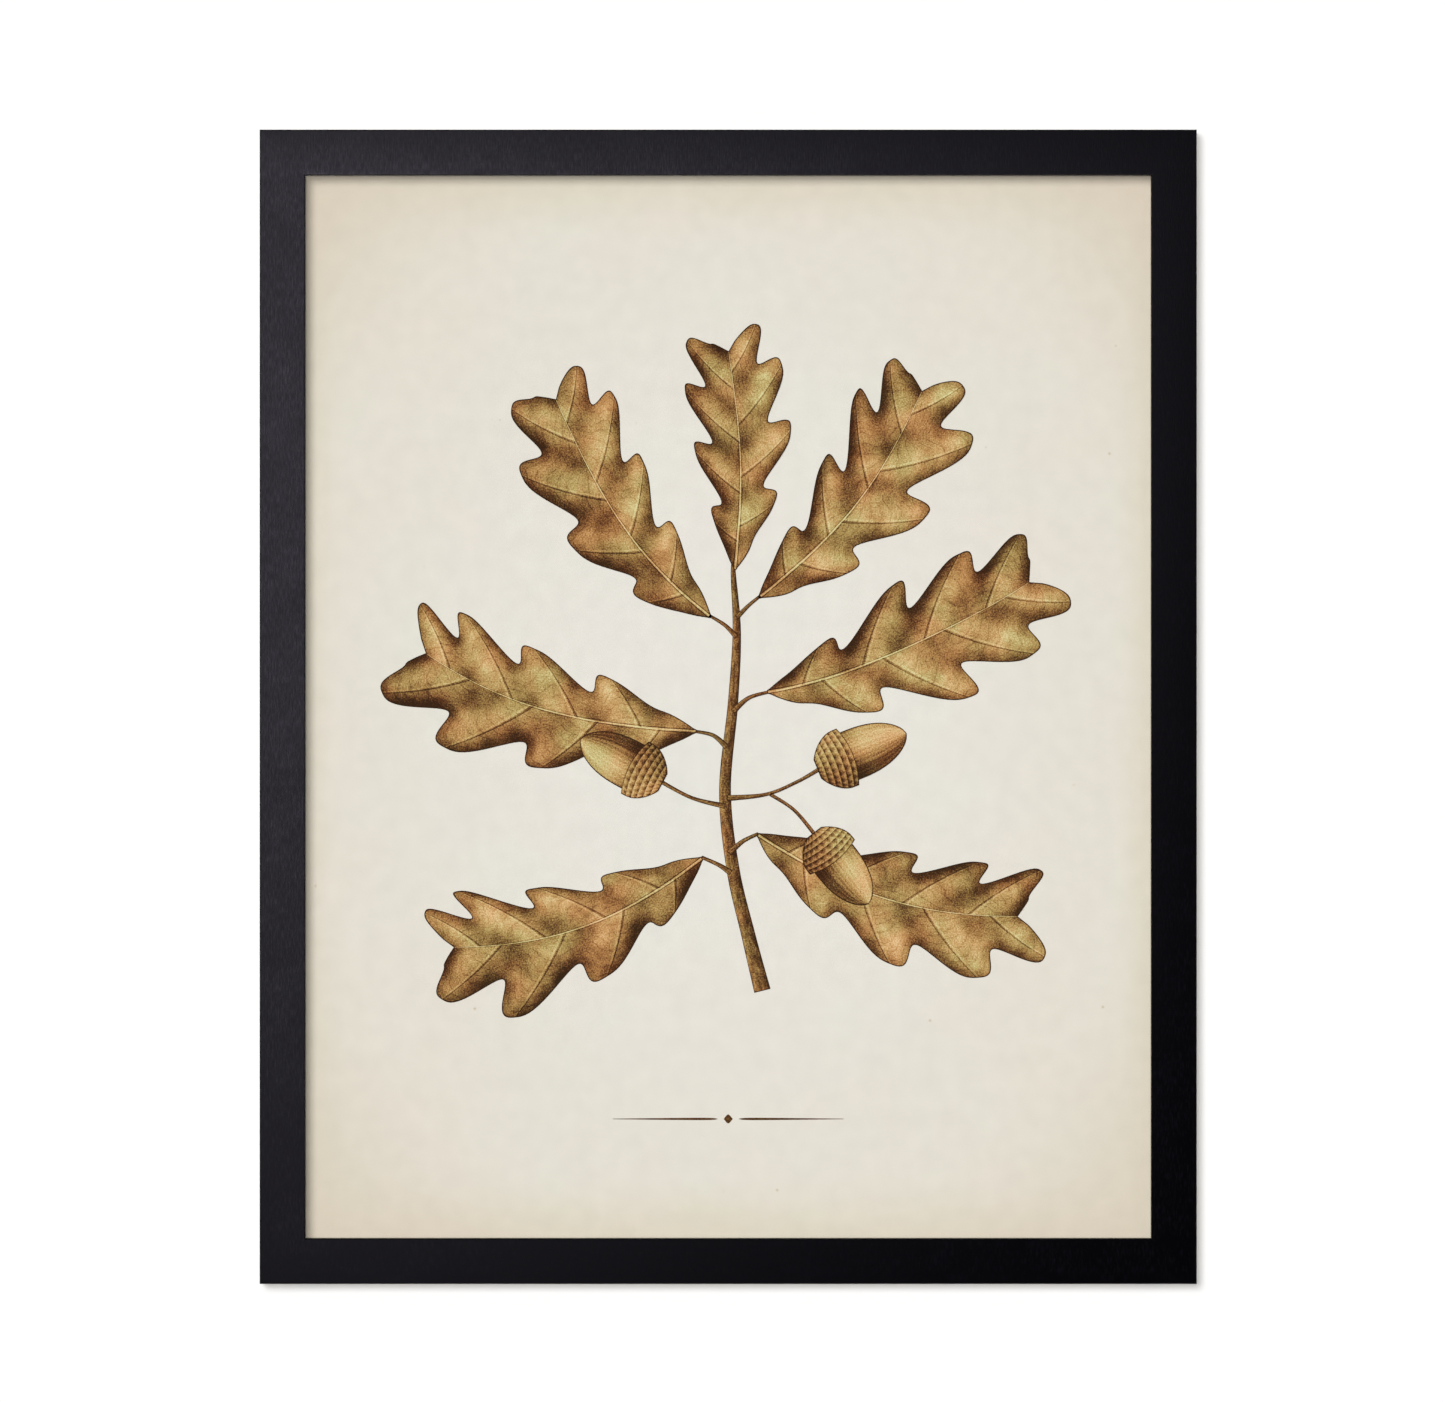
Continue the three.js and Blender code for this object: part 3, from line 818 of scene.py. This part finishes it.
def cupTone(add, flat, uv, along, across, edge):
    # rows of small overlapping scales, each row set half a scale along from the last
    rows = add("Math MULTIPLY", {0: along, 1: 6})
    row = add("Math FLOOR", {0: rows})
    up = add("Math FRACT", {0: rows})
    aroundCup = add("Math ARCSINE", {0: across})
    columns = add("Math MULTIPLY", {0: aroundCup, 1: 3.2})
    shifted = add("Math MULTIPLY_ADD", {0: row, 1: 0.5, 2: columns})
    fromMiddle = add("Math PINGPONG", {0: shifted, 1: 0.5})
    scale = add("Math ADD", {0: up, 1: fromMiddle})
    tone = add("MapRange", {
        "From Min": 0.15, "From Max": 1.1, "To Min": 0.1, "To Max": 0.74, "Value": scale
    })
    return shiftedTone(add, tone, [(across, -1.0, 0.5, -0.32, 0.04), (edge, 0.2, 0.6, -0.6, 0)])


barkInk = newMaterial("umberTwigInk", lithographInk, barkTone)
nutInk = newMaterial("ochreNutInk", lithographInk, nutTone)
cupInk = newMaterial("umberCupInk", lithographInk, cupTone)


def nutHalf(t):
    return max(0.012, 0.42 * (1 - max(0, (t - 0.2) / 0.8) ** 2.4) ** 0.62)


def cupHalf(t):
    return max(0.05, 0.5 * math.sin(math.pi / 2 * min(1, 0.1 + 1.05 * t)) ** 0.6)


acornParts = {
    # as shares of the acorn's size: from, to, bow at the far end; rows, half width along the way, ink
    "nut": (0.1, 1.3, 0, 40, nutHalf, nutInk),
    "cup": (-0.28, 0.26, 0.1, 24, cupHalf, cupInk),
}


def acorn(name, base, heading, size, layer, half=10):
    along = towards(math.radians(heading))
    side = Vector((-along.y, along.x))
    for part, (low, high, bow, rows, halfWidth, material) in acornParts.items():
        grid = []
        for i in range(rows + 1):
            t = i / rows
            reach, wide = low + (high - low) * t, halfWidth(t)
            shares = [j / half for j in range(-half, half + 1)]
            line = [along * (reach + bow * t * (1 - v * v)) + side * wide * v for v in shares]
            grid.append([Vector(base) + point * size for point in line])
        inkFilm(f"{name}_{part}", grid, layer, material, lambda i, j, cell: (i / rows, (j - half) / half))
        layer += 1


sprigLeaves = [
    # base, heading, length, width, bend, layer
    ((-11.6, -70.4), 205, 127, 108.6, -34, 1),
    ((13.2, -59.4), -22, 130.6, 110.4, 30, 1),
    ((-14.4, -11.5), 168, 134.3, 115.9, -30, 2),
    ((17.8, 6.9), 18, 134.3, 117.8, 28, 2),
    ((-7.9, 41.8), 130, 127, 108.6, -26, 3),
    ((14.1, 51), 48, 125.1, 106.7, 24, 3),
    ((3.1, 63.9), 90, 103, 92, 10, 4),
]
for number, leaf in enumerate(sprigLeaves):
    oakLeaf(f"inkLeaf_{number + 1}", *leaf, leafRules["firstSeed"] + number)

twig = [
    # across, up, width
    (16, -133, 7.8), (9.5, -107.2, 6.6), (2.2, -75.9, 6.1), (-1.5, -39.1, 5.5), (2.2, 1.4, 4.8),
    (4, 34.5, 3.9), (2.4, 62, 2.4), (2.4, 70, 1)
]
inkStroke("inkTwig", twig, 2, barkInk)
stalks = {
    "inkStalk": [
        [(1.3, -77.8, 3.1), (-4.3, -74.1, 2), (-12.5, -70.4, 1.6)],
        [(0.3, -68.6, 3.1), (6.8, -63, 2), (14.1, -59.4, 1.6)],
        [(-0.6, -18.9, 2.9), (-7, -13.4, 1.9), (-15.3, -11.5, 1.5)],
        [(2.2, -2.3, 2.9), (9.5, 4.1, 1.9), (18.7, 6.9, 1.5)],
        [(4, 32.6, 2.6), (-1.5, 38.2, 1.8), (-8.9, 42.8, 1.4)],
        [(4, 41.8, 2.4), (9.5, 47.4, 1.7), (15.1, 52, 1.4)],
    ],
    "inkAcornStalk": [
        [(-0.6, -42.8, 2.8), (17.8, -41, 1.7), (32.5, -35, 1.6), (43.6, -28.6, 2)],
        [(19.7, -41, 1.7), (31, -48.5, 1.6), (41.3, -60.8, 1.9)],
        [(-1.5, -46.5, 2.6), (-17.1, -42.6, 1.7), (-32.6, -34.4, 1.9)],
    ],
}
for kind, paths in stalks.items():
    for number, path in enumerate(paths, 1):
        inkStroke(f"{kind}_{number}", path, 3, barkInk, 3)
acorn("inkAcorn_1", (49.1, -26.2), 22, 28.5, 3)
acorn("inkAcorn_2", (44.5, -64.9), -52, 26.7, 3)
acorn("inkAcorn_3", (-37.4, -31.8), 152, 27.6, 3)
print("oak sprig printed")

# a small rule and lozenge under the sprig
rules = {"below": 193, "halfLength": 54, "gap": 5, "taper": 8, "thick": 1.1, "thin": 0.25, "lozenge": 4.2}


def ruleTone(add, flat, uv, along, across, edge):
    return add("MapRange", {"From Max": 2, "To Min": 0.1, "To Max": 0.22, "Value": edge})


ruleInk = newMaterial("umberRuleInk", lithographInk, ruleTone)
level, gap, thin, lozenge = -rules["below"], rules["gap"], rules["thin"], rules["lozenge"]
swelling = ((gap, thin), (gap + rules["taper"], rules["thick"]), (rules["halfLength"], thin))
for word, side in (("left", -1), ("right", 1)):
    inkStroke(f"inkRule_{word}", [(side * out, level, wide) for out, wide in swelling], 0, ruleInk, 2)
lozengePath = [(-lozenge / 2, level, 0.1), (0, level, lozenge), (lozenge / 2, level, 0.1)]
inkStroke("inkLozenge", lozengePath, 0, ruleInk, 2)
print("rule printed")


def clearAcrylic(add):
    # cast acrylic sheet: each face mirrors a little and lets the rest straight through to the print
    through = add("BsdfTransparent", {"Color": "#fafbfa"})
    mirrored = add("BsdfAnisotropic", {"Color": "#ffffff", "Roughness": 0.03})
    share = add("Fresnel", {"IOR": 1.49})
    # rays aren't bent on the way in, so the face they leave by may not mirror, or slanting views go black
    leaving = add("NewGeometry").outputs["Backfacing"]
    outside = add("Math SUBTRACT", {"use_clamp": True, 0: share, 1: leaving})
    return add("MixShader", {0: outside, 1: through, 2: mirrored})


glazing = frame["nodes"]["glazing"]
dress(glazing.data, newMaterial("castAcrylic", clearAcrylic))
glazing.visible_shadow = False  # thin and clear: it throws no shadow on the print
glazing.visible_diffuse = False
print("paper and glazing in")

# what closes the back: boards, turn buttons, fasteners, hanger and bumpers


def arc(x, z, radius, start, sweep, steps):
    # points round part of a circle, from start over sweep degrees
    turns = [math.radians(start + sweep * k / steps) for k in range(steps + 1)]
    return [(x + radius * math.cos(a), z + radius * math.sin(a)) for a in turns]


def circle(x, z, radius, steps=20):
    return arc(x, z, radius, 0, 360, steps)[:-1]


def stadium(width, low, high):
    # a strip with round ends, from low to high
    top = arc(0, high - width / 2, width / 2, 0, 180, 10)
    return top + [(-x, low + high - z) for x, z in top]


def pressedSheet(name, outlines, thickness, edge):
    # a blank cut from sheet, its edges a little rounded; outlines are its rim and holes, as (across, up)
    blank = bpy.data.curves.new(name, "CURVE")
    blank.dimensions, blank.fill_mode = "2D", "BOTH"
    blank.extrude, blank.bevel_depth, blank.offset = (thickness / 2 - edge) * mm, edge * mm, -edge * mm
    blank.bevel_resolution = 2
    for outline in outlines:
        loop = blank.splines.new("POLY")
        loop.points.add(len(outline) - 1)
        for point, (x, z) in zip(loop.points, outline):
            point.co = (x * mm, z * mm, 0, 1)
        loop.use_cyclic_u = True
    made = plainMesh(addPiece(name, blank), name)
    made.transform(Matrix.Rotation(math.pi / 2, 4, "X"))
    return made


def turnedSolid(name, profile, sides):
    # profile is (radius, y) in order along the axis, and starts and ends on it
    mesh = bmesh.new()
    rings = []
    for radius, y in profile:
        around = circle(0, 0, radius, sides) if radius else [(0, 0)]
        rings.append([mesh.verts.new(Vector((x, y, z)) * mm) for x, z in around])
    for a, b in zip(rings, rings[1:]):
        for k in range(sides):
            corners = [a[k % len(a)], a[(k + 1) % len(a)], b[(k + 1) % len(b)], b[k % len(b)]]
            mesh.faces.new(list(dict.fromkeys(corners)))
    return toMesh(mesh, bpy.data.meshes.new(name))


def combined(name, base, tool, operation):
    holder, other = addPiece(name, base), addPiece(name + "Tool", tool)
    change = holder.modifiers.new(operation, "BOOLEAN")
    change.object, change.operation, change.solver = other, operation, "EXACT"
    made = plainMesh(holder, name)
    bpy.data.objects.remove(other)
    return made


def placedOnPoints(add, given):
    # sets a fastener on each point, turned by the point's own angle and a little more by chance
    points = add("MeshToPoints", {"Mesh": given["Geometry"]})
    fastener = add("ObjectInfo", {"Object": given["Fastener"]}).outputs["Geometry"]
    turn = add("InputNamedAttribute", {"Name": "turn"})
    most = given["Chance Turn"]
    least = add("Math MULTIPLY", {0: most, 1: -1})
    chance = add("RandomValue", {"Min": least, "Max": most, "Seed": given["Seed"]})
    spin = add("CombineXYZ", {"Y": add("Math ADD", {0: turn, 1: chance})})
    return add("InstanceOnPoints", {"Points": points, "Instance": fastener, "Rotation": spin})


placingInputs = {"Fastener": "Object", "Chance Turn": "Float", "Seed": "Int"}
placingTree = newTree("placedOnPoints", placingInputs, placedOnPoints)


def placed(name, shape, spots, material, chanceTurn=0.0):
    # spots are (across, depth, up, turn) in metres and radians
    points = bpy.data.meshes.new(name)
    points.from_pydata([spot[:3] for spot in spots], [], [])
    turns = points.attributes.new("turn", "FLOAT", "POINT")
    for i, spot in enumerate(spots):
        turns.data[i].value = spot[3]
    fastener = addPiece(name + "Shape", shape, material)
    inputs = {"Fastener": fastener, "Chance Turn": chanceTurn, "Seed": 7, "Material": material}
    piece = grown(name, points, placingTree, inputs)
    bpy.data.objects.remove(fastener)
    return piece


zinc = {
    "sheet": ("#b9bec3", 0.3),  # colour and roughness
    "turned": ("#c3c4c2", 0.24),
    "handled": "#8d9296",
    "cloud": 3,  # size of the marks of handling
    "rolling": (0.2, 4),  # width and length of a rolling line
}


def zincPlate(add, colour, roughness):
    # zinc plate on pressed or turned steel: bluish and satin, clouded by handling, with fine rolling lines
    place = inMillimetres(add)
    wide, long = zinc["rolling"]
    rolled = add("Mapping", {"Scale": (1 / long, 1 / long, 1 / wide), "Vector": place})
    lines = add("TexNoise", {"Scale": 1, "Detail": 4, "Roughness": 0.7, "Vector": rolled})
    cloud = 1 / zinc["cloud"]
    clouds = add("TexNoise", {"Scale": cloud, "Detail": 5, "Roughness": 0.65, "Vector": place})
    tint = tinted(add, colour, [(clouds, 0.45, 0.8, 1, zinc["handled"])])
    dulled = add("MapRange", {
        "From Min": 0.3, "From Max": 0.7, "To Min": roughness - 0.07, "To Max": roughness + 0.12,
        "Value": clouds
    })
    bump = add("Bump", {"Strength": 0.3, "Distance": 0.00003, "Height": lines})
    return add("BsdfPrincipled", {"Metallic": 1, "Base Color": tint, "Roughness": dulled, "Normal": bump})


rubber = {"black": "#1d1d1e", "dust": "#5b5956", "tooth": 0.25, "dustPatch": 1.25}


def mouldedRubber(add):
    # moulded rubber: matt black with a fine tooth, and a little grey dust caught in it
    place = inMillimetres(add)
    tooth = add("TexNoise", {"Scale": 1 / rubber["tooth"], "Detail": 3, "Vector": place})
    patch = 1 / rubber["dustPatch"]
    dust = add("TexNoise", {"Scale": patch, "Detail": 6, "Roughness": 0.8, "Vector": place})
    tint = tinted(add, rubber["black"], [(dust, 0.52, 0.75, 0.5, rubber["dust"])])
    rough = add("MapRange", {"To Min": 0.62, "To Max": 0.85, "Value": tooth})
    bump = add("Bump", {"Strength": 0.4, "Distance": 0.00005, "Height": tooth})
    return add("BsdfPrincipled", {"IOR": 1.52, "Base Color": tint, "Roughness": rough, "Normal": bump})


boards = {
    "hardboard": "#87664a",
    "hardboardShade": "#7a593f",
    "shade": 45,  # size of a darker patch
    "darkFibre": "#553a24",
    "paleFibre": "#b08e66",
    "fibre": 1.4,  # drawn coarser than a real fibre, to show
    "foamFace": "#f0eee8",
    "foamFaceShade": "#e2dfd6",
    "pulp": 3,
    "foamCell": 0.6,
}


def hardboard(add):
    # hot-pressed wood fibre, smooth side out: tea brown, flecked with dark and pale fibres, faintly glazed
    place = inMillimetres(add)
    shade = 1 / boards["shade"]
    clouds = add("TexNoise", {"Scale": shade, "Detail": 6, "Roughness": 0.6, "Vector": place})
    fibres = add("TexNoise", {
        "Scale": 1 / boards["fibre"], "Detail": 5, "Roughness": 0.75, "Distortion": 0.8, "Vector": place
    })
    tint = tinted(add, boards["hardboard"], [
        (clouds, 0.3, 0.7, 1, boards["hardboardShade"]),
        (fibres, 0.58, 0.72, 0.7, boards["darkFibre"]),
        (fibres, 0.4, 0.28, 0.6, boards["paleFibre"]),
    ])
    rough = add("MapRange", {
        "From Min": 0.3, "From Max": 0.7, "To Min": 0.42, "To Max": 0.6, "Value": fibres
    })
    bump = add("Bump", {"Strength": 0.2, "Distance": 0.00006, "Height": fibres})
    return add("BsdfPrincipled", {"Base Color": tint, "Roughness": rough, "Normal": bump})


def foamBoard(add):
    # foam core between papers: matt white, faintly cloudy, with the foam's cells showing in the cut edges
    place = inMillimetres(add)
    pulp = add("TexNoise", {"Scale": 1 / boards["pulp"], "Detail": 5, "Vector": place})
    cells = add("TexVoronoi", {"Scale": 1 / boards["foamCell"], "Vector": place})
    normal = add("SeparateXYZ", {0: add("NewGeometry").outputs["True Normal"]})
    onFace = add("Math ABSOLUTE", {0: normal.outputs["Y"]})
    relief = add("Mix", {"Factor": onFace, "A": cells, "B": pulp})
    tint = add("Mix", {
        "data_type": "RGBA", "Factor": pulp, "A": boards["foamFace"], "B": boards["foamFaceShade"]
    })
    bump = add("Bump", {"Strength": 0.3, "Distance": 0.0001, "Height": relief})
    return add("BsdfPrincipled", {"Roughness": 0.85, "Base Color": tint, "Normal": bump})


dress(frame["nodes"]["back_board"].data, newMaterial("smoothHardboard", hardboard))
dress(frame["nodes"]["filler_board"].data, newMaterial("foamBoard", foamBoard))
plate = newMaterial("zincPlatedSteelSheet", zincPlate, *zinc["sheet"])
turnedSteel = newMaterial("zincPlatedTurnedSteel", zincPlate, *zinc["turned"])
blackRubber = newMaterial("mouldedRubber", mouldedRubber)
print("boards and metal finished")

turnButton = {
    "width": 10,
    "pivotToRoundEnd": 6,
    "holeRadius": 2.1,
    "edge": 0.22,
    "thickness": 1.0,
    "ribWidth": 2.4,
    "ribFrom": 6.75,  # below the pivot
    "ribTo": 19.65,
    "ribRounding": 0.9,  # as a share of its height
}
low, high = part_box("turn_button_top_1")
roundEnd, thickness = turnButton["pivotToRoundEnd"], turnButton["thickness"]
strip = stadium(turnButton["width"], roundEnd - (high.z - low.z) / mm, roundEnd)
hole = circle(0, 0, turnButton["holeRadius"])
blank = pressedSheet("buttonPlate", [strip, hole], thickness, turnButton["edge"])
plateBack = low.y + thickness * mm
plateMiddle = plateBack - thickness / 2 * mm
ribHeight = (high.y - plateBack) / mm
strip = stadium(turnButton["ribWidth"], -turnButton["ribTo"], -turnButton["ribFrom"])
rib = pressedSheet("buttonRib", [strip], 2 * ribHeight, turnButton["ribRounding"] * ribHeight)
rib.transform(Matrix.Translation((0, thickness / 2 * mm, 0)))
buttonShape = combined("buttonShape", blank, rib, "UNION")
screwSpots = []
for joint in frame["joints"]:
    side, number = joint["child"].split("_")[1:]
    x, _, z = joint["pos_m"]
    turn = rails[side][1]
    spot = (x, plateMiddle, z, turn)
    button = placed(f"turnButton_{side}_{number}", buttonShape.copy(), [spot], plate)
    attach(button, joint["child"])
    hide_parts(f"turn_button_{side}_{number}")
    screwSpots.append((x, 0, z, turn))
print(f"{len(screwSpots)} turn buttons fitted")

screw = {
    "headRadius": 3.7,
    "rimHeight": 0.55,
    "seat": 0.15,  # gap from the button to the head
    "shankRadius": 1.7,
    "threadDepth": 0.35,
    "pitch": 1.1,
    "point": 3.0,
    "slotWidth": 1.0,
    "slotDepth": 0.9,
    "chanceTurn": 1.3,
}


def slottedScrew():
    # a pan-headed slotted screw, its axis along Y, standing in the wood
    low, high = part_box("button_screw_top_1")
    tip, top = low.y / mm, high.y / mm
    seat = plateBack / mm + screw["seat"]
    radius, shank, pitch = screw["headRadius"], screw["shankRadius"], screw["pitch"]
    profile = [(0, tip), (0.2, tip + 0.1)]
    y = tip + screw["point"]
    while y < seat - pitch:
        profile += [(shank - screw["threadDepth"], y), (shank, y + pitch * 0.55)]
        y += pitch
    rim = seat + screw["rimHeight"]
    profile += [(shank, seat), (radius - 0.1, seat), (radius, seat + 0.1), (radius, rim)]
    profile += [(radius * x, rim + (top - rim) * y) for x, y in arc(0, 0, 1, 0, 90, 8)[1:-1]] + [(0, top)]
    slot = bmesh.new()
    bmesh.ops.create_cube(slot, size=1)
    slotSize = (3 * radius, 2 * screw["slotDepth"], screw["slotWidth"])
    for vert in slot.verts:
        vert.co = Vector([a * b for a, b in zip(vert.co, slotSize)]) * mm + Vector((0, top * mm, 0))
    cutter = bpy.data.meshes.new("screwSlot")
    slot.to_mesh(cutter)
    slot.free()
    return combined("screwShape", turnedSolid("screwBody", profile, 36), cutter, "DIFFERENCE")


screws = placed("buttonScrews", slottedScrew(), screwSpots, turnedSteel, screw["chanceTurn"])
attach(screws, "frame")
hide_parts(*[joint["child"].replace("button_", "button_screw_") for joint in frame["joints"]])
print("screws driven")

hangerStrip = {
    "thickness": 1.2,
    "edge": 0.25,
    "cornerRadius": 2.0,
    "raisedLength": 40,  # the toothed middle that stands off the wood
    "bend": 2.6,
    "bendCuts": 8,
    "teeth": 11,
    "pitch": 3.2,
    "depth": 1.8,
    "nailRadius": 0.9,
    "nailHead": 1.9,
    "nailInset": 5.4,  # from the strip's end
}


def sawtoothHanger():
    # a strip of sheet steel, notched along its lower edge and bent out twice
    low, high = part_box("sawtooth_hanger")
    right, bottom, top = high.x / mm, low.z / mm, high.z / mm
    r, pitch, thickness = hangerStrip["cornerRadius"], hangerStrip["pitch"], hangerStrip["thickness"]
    outline = arc(right - r, top - r, r, 0, 90, 6) + arc(r - right, top - r, r, 90, 90, 6)
    outline += arc(r - right, bottom + r, r, 180, 90, 6)
    half = hangerStrip["teeth"] * pitch / 2
    for i in range(hangerStrip["teeth"]):
        x = -half + i * pitch
        outline += [(x, bottom), (x + pitch / 2, bottom + hangerStrip["depth"])]
    outline += [(half, bottom)] + arc(right - r, bottom + r, r, 270, 90, 6)
    nailX, nailZ = right - hangerStrip["nailInset"], (bottom + top) / 2
    holes = [circle(side * nailX, nailZ, hangerStrip["nailRadius"] + 0.1, 16) for side in (-1, 1)]
    flat = pressedSheet("hangerBlank", [outline, *holes], thickness, hangerStrip["edge"])
    mesh = bmesh.new()
    mesh.from_mesh(flat)
    inner, bend, cuts = hangerStrip["raisedLength"] / 2, hangerStrip["bend"], hangerStrip["bendCuts"]
    for side in (-1, 1):
        for k in range(cuts + 1):
            at = (side * (inner + bend * k / cuts) * mm, 0, 0)
            geometry = [*mesh.verts, *mesh.edges, *mesh.faces]
            bmesh.ops.bisect_plane(mesh, geom=geometry, dist=0.0000001, plane_co=at, plane_no=(1, 0, 0))
    raised = high.y - low.y - thickness * mm
    for vert in mesh.verts:
        t = min(1, max(0, (inner + bend - abs(vert.co.x) / mm) / bend))
        vert.co.y += low.y + thickness / 2 * mm + raised * t * t * (3 - 2 * t)
    return toMesh(mesh, flat), nailX, nailZ


strip, nailX, nailZ = sawtoothHanger()
strap = addPiece("sawtoothHanger", strip, plate)
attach(strap, "frame")
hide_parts("sawtooth_hanger")

low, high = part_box("hanger_nail_1")
top, tip, shank, head = high.y / mm, low.y / mm, hangerStrip["nailRadius"], hangerStrip["nailHead"]
nailProfile = [(0, tip), (shank, tip + 2), (shank, top - 1), (head - 0.15, top - 1), (head, top - 0.8)]
nailProfile += [(head, top - 0.5), (head * 0.85, top - 0.2), (head * 0.5, top - 0.05), (0, top)]
nailSpots = [(side * nailX * mm, 0, nailZ * mm, 0) for side in (-1, 1)]
nails = placed("hangerNails", turnedSolid("nailShape", nailProfile, 24), nailSpots, turnedSteel)
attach(nails, "frame")
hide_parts("hanger_nail_1", "hanger_nail_2")
print("hanger nailed on")

veeNail = {
    "insets": (4.6, 10.4),  # from the outer edges
    "leg": 6.4,
    "thickness": 0.7,
    "foldRadius": 0.9,
    "proud": 0.1,  # how far it stands out of the wood
    "edge": 0.06,
}
half, leg, fold = veeNail["thickness"] / 2, veeNail["leg"], veeNail["foldRadius"]
outline = [(leg, half), (leg, -half), (half, -half), (half, -leg), (-half, -leg)]
outline += arc(fold - half, half - fold, fold, 180, -90, 6)
low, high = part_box("v_nail_top_left_1")
depth = (high.y - low.y) / mm + veeNail["proud"]
veeShape = pressedSheet("veeNailShape", [outline], depth, veeNail["edge"])
veeSpots = []
for turns, (side, level) in enumerate(((-1, 1), (1, 1), (1, -1), (-1, -1))):
    for inset in veeNail["insets"]:
        x = side * (outer["right"] - inset * mm)
        z = middle.z + level * (height / 2 - inset * mm)
        veeSpots.append((x, low.y + depth / 2 * mm, z, turns * math.pi / 2))
veeNails = placed("veeNails", veeShape, veeSpots, turnedSteel)
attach(veeNails, "frame")
corners = ("top_left", "top_right", "bottom_left", "bottom_right")
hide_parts(*[f"v_nail_{corner}_{i}" for corner in corners for i in (1, 2)])
print("mitres nailed")

bumper = {"crown": 0.9, "foot": 0.15, "crownSteps": 6}
low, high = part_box("bumper_left")
radius, thick = (high.x - low.x) / 2 / mm, (high.y - low.y) / mm
crown, foot = bumper["crown"], bumper["foot"]
crownArc = arc(radius - crown, thick - crown, crown, 0, 90, bumper["crownSteps"])
bumperProfile = [(0, 0), (radius - foot, 0), (radius, foot), *crownArc, (0, thick)]
bumperSpots = []
for side in ("left", "right"):
    low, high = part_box(f"bumper_{side}")
    centre = (low + high) / 2
    bumperSpots.append((centre.x, low.y, centre.z, 0))
bumpers = placed("wallBumpers", turnedSolid("bumperShape", bumperProfile, 48), bumperSpots, blackRubber)
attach(bumpers, "frame")
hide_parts("bumper_left", "bumper_right")
print("bumpers stuck on")
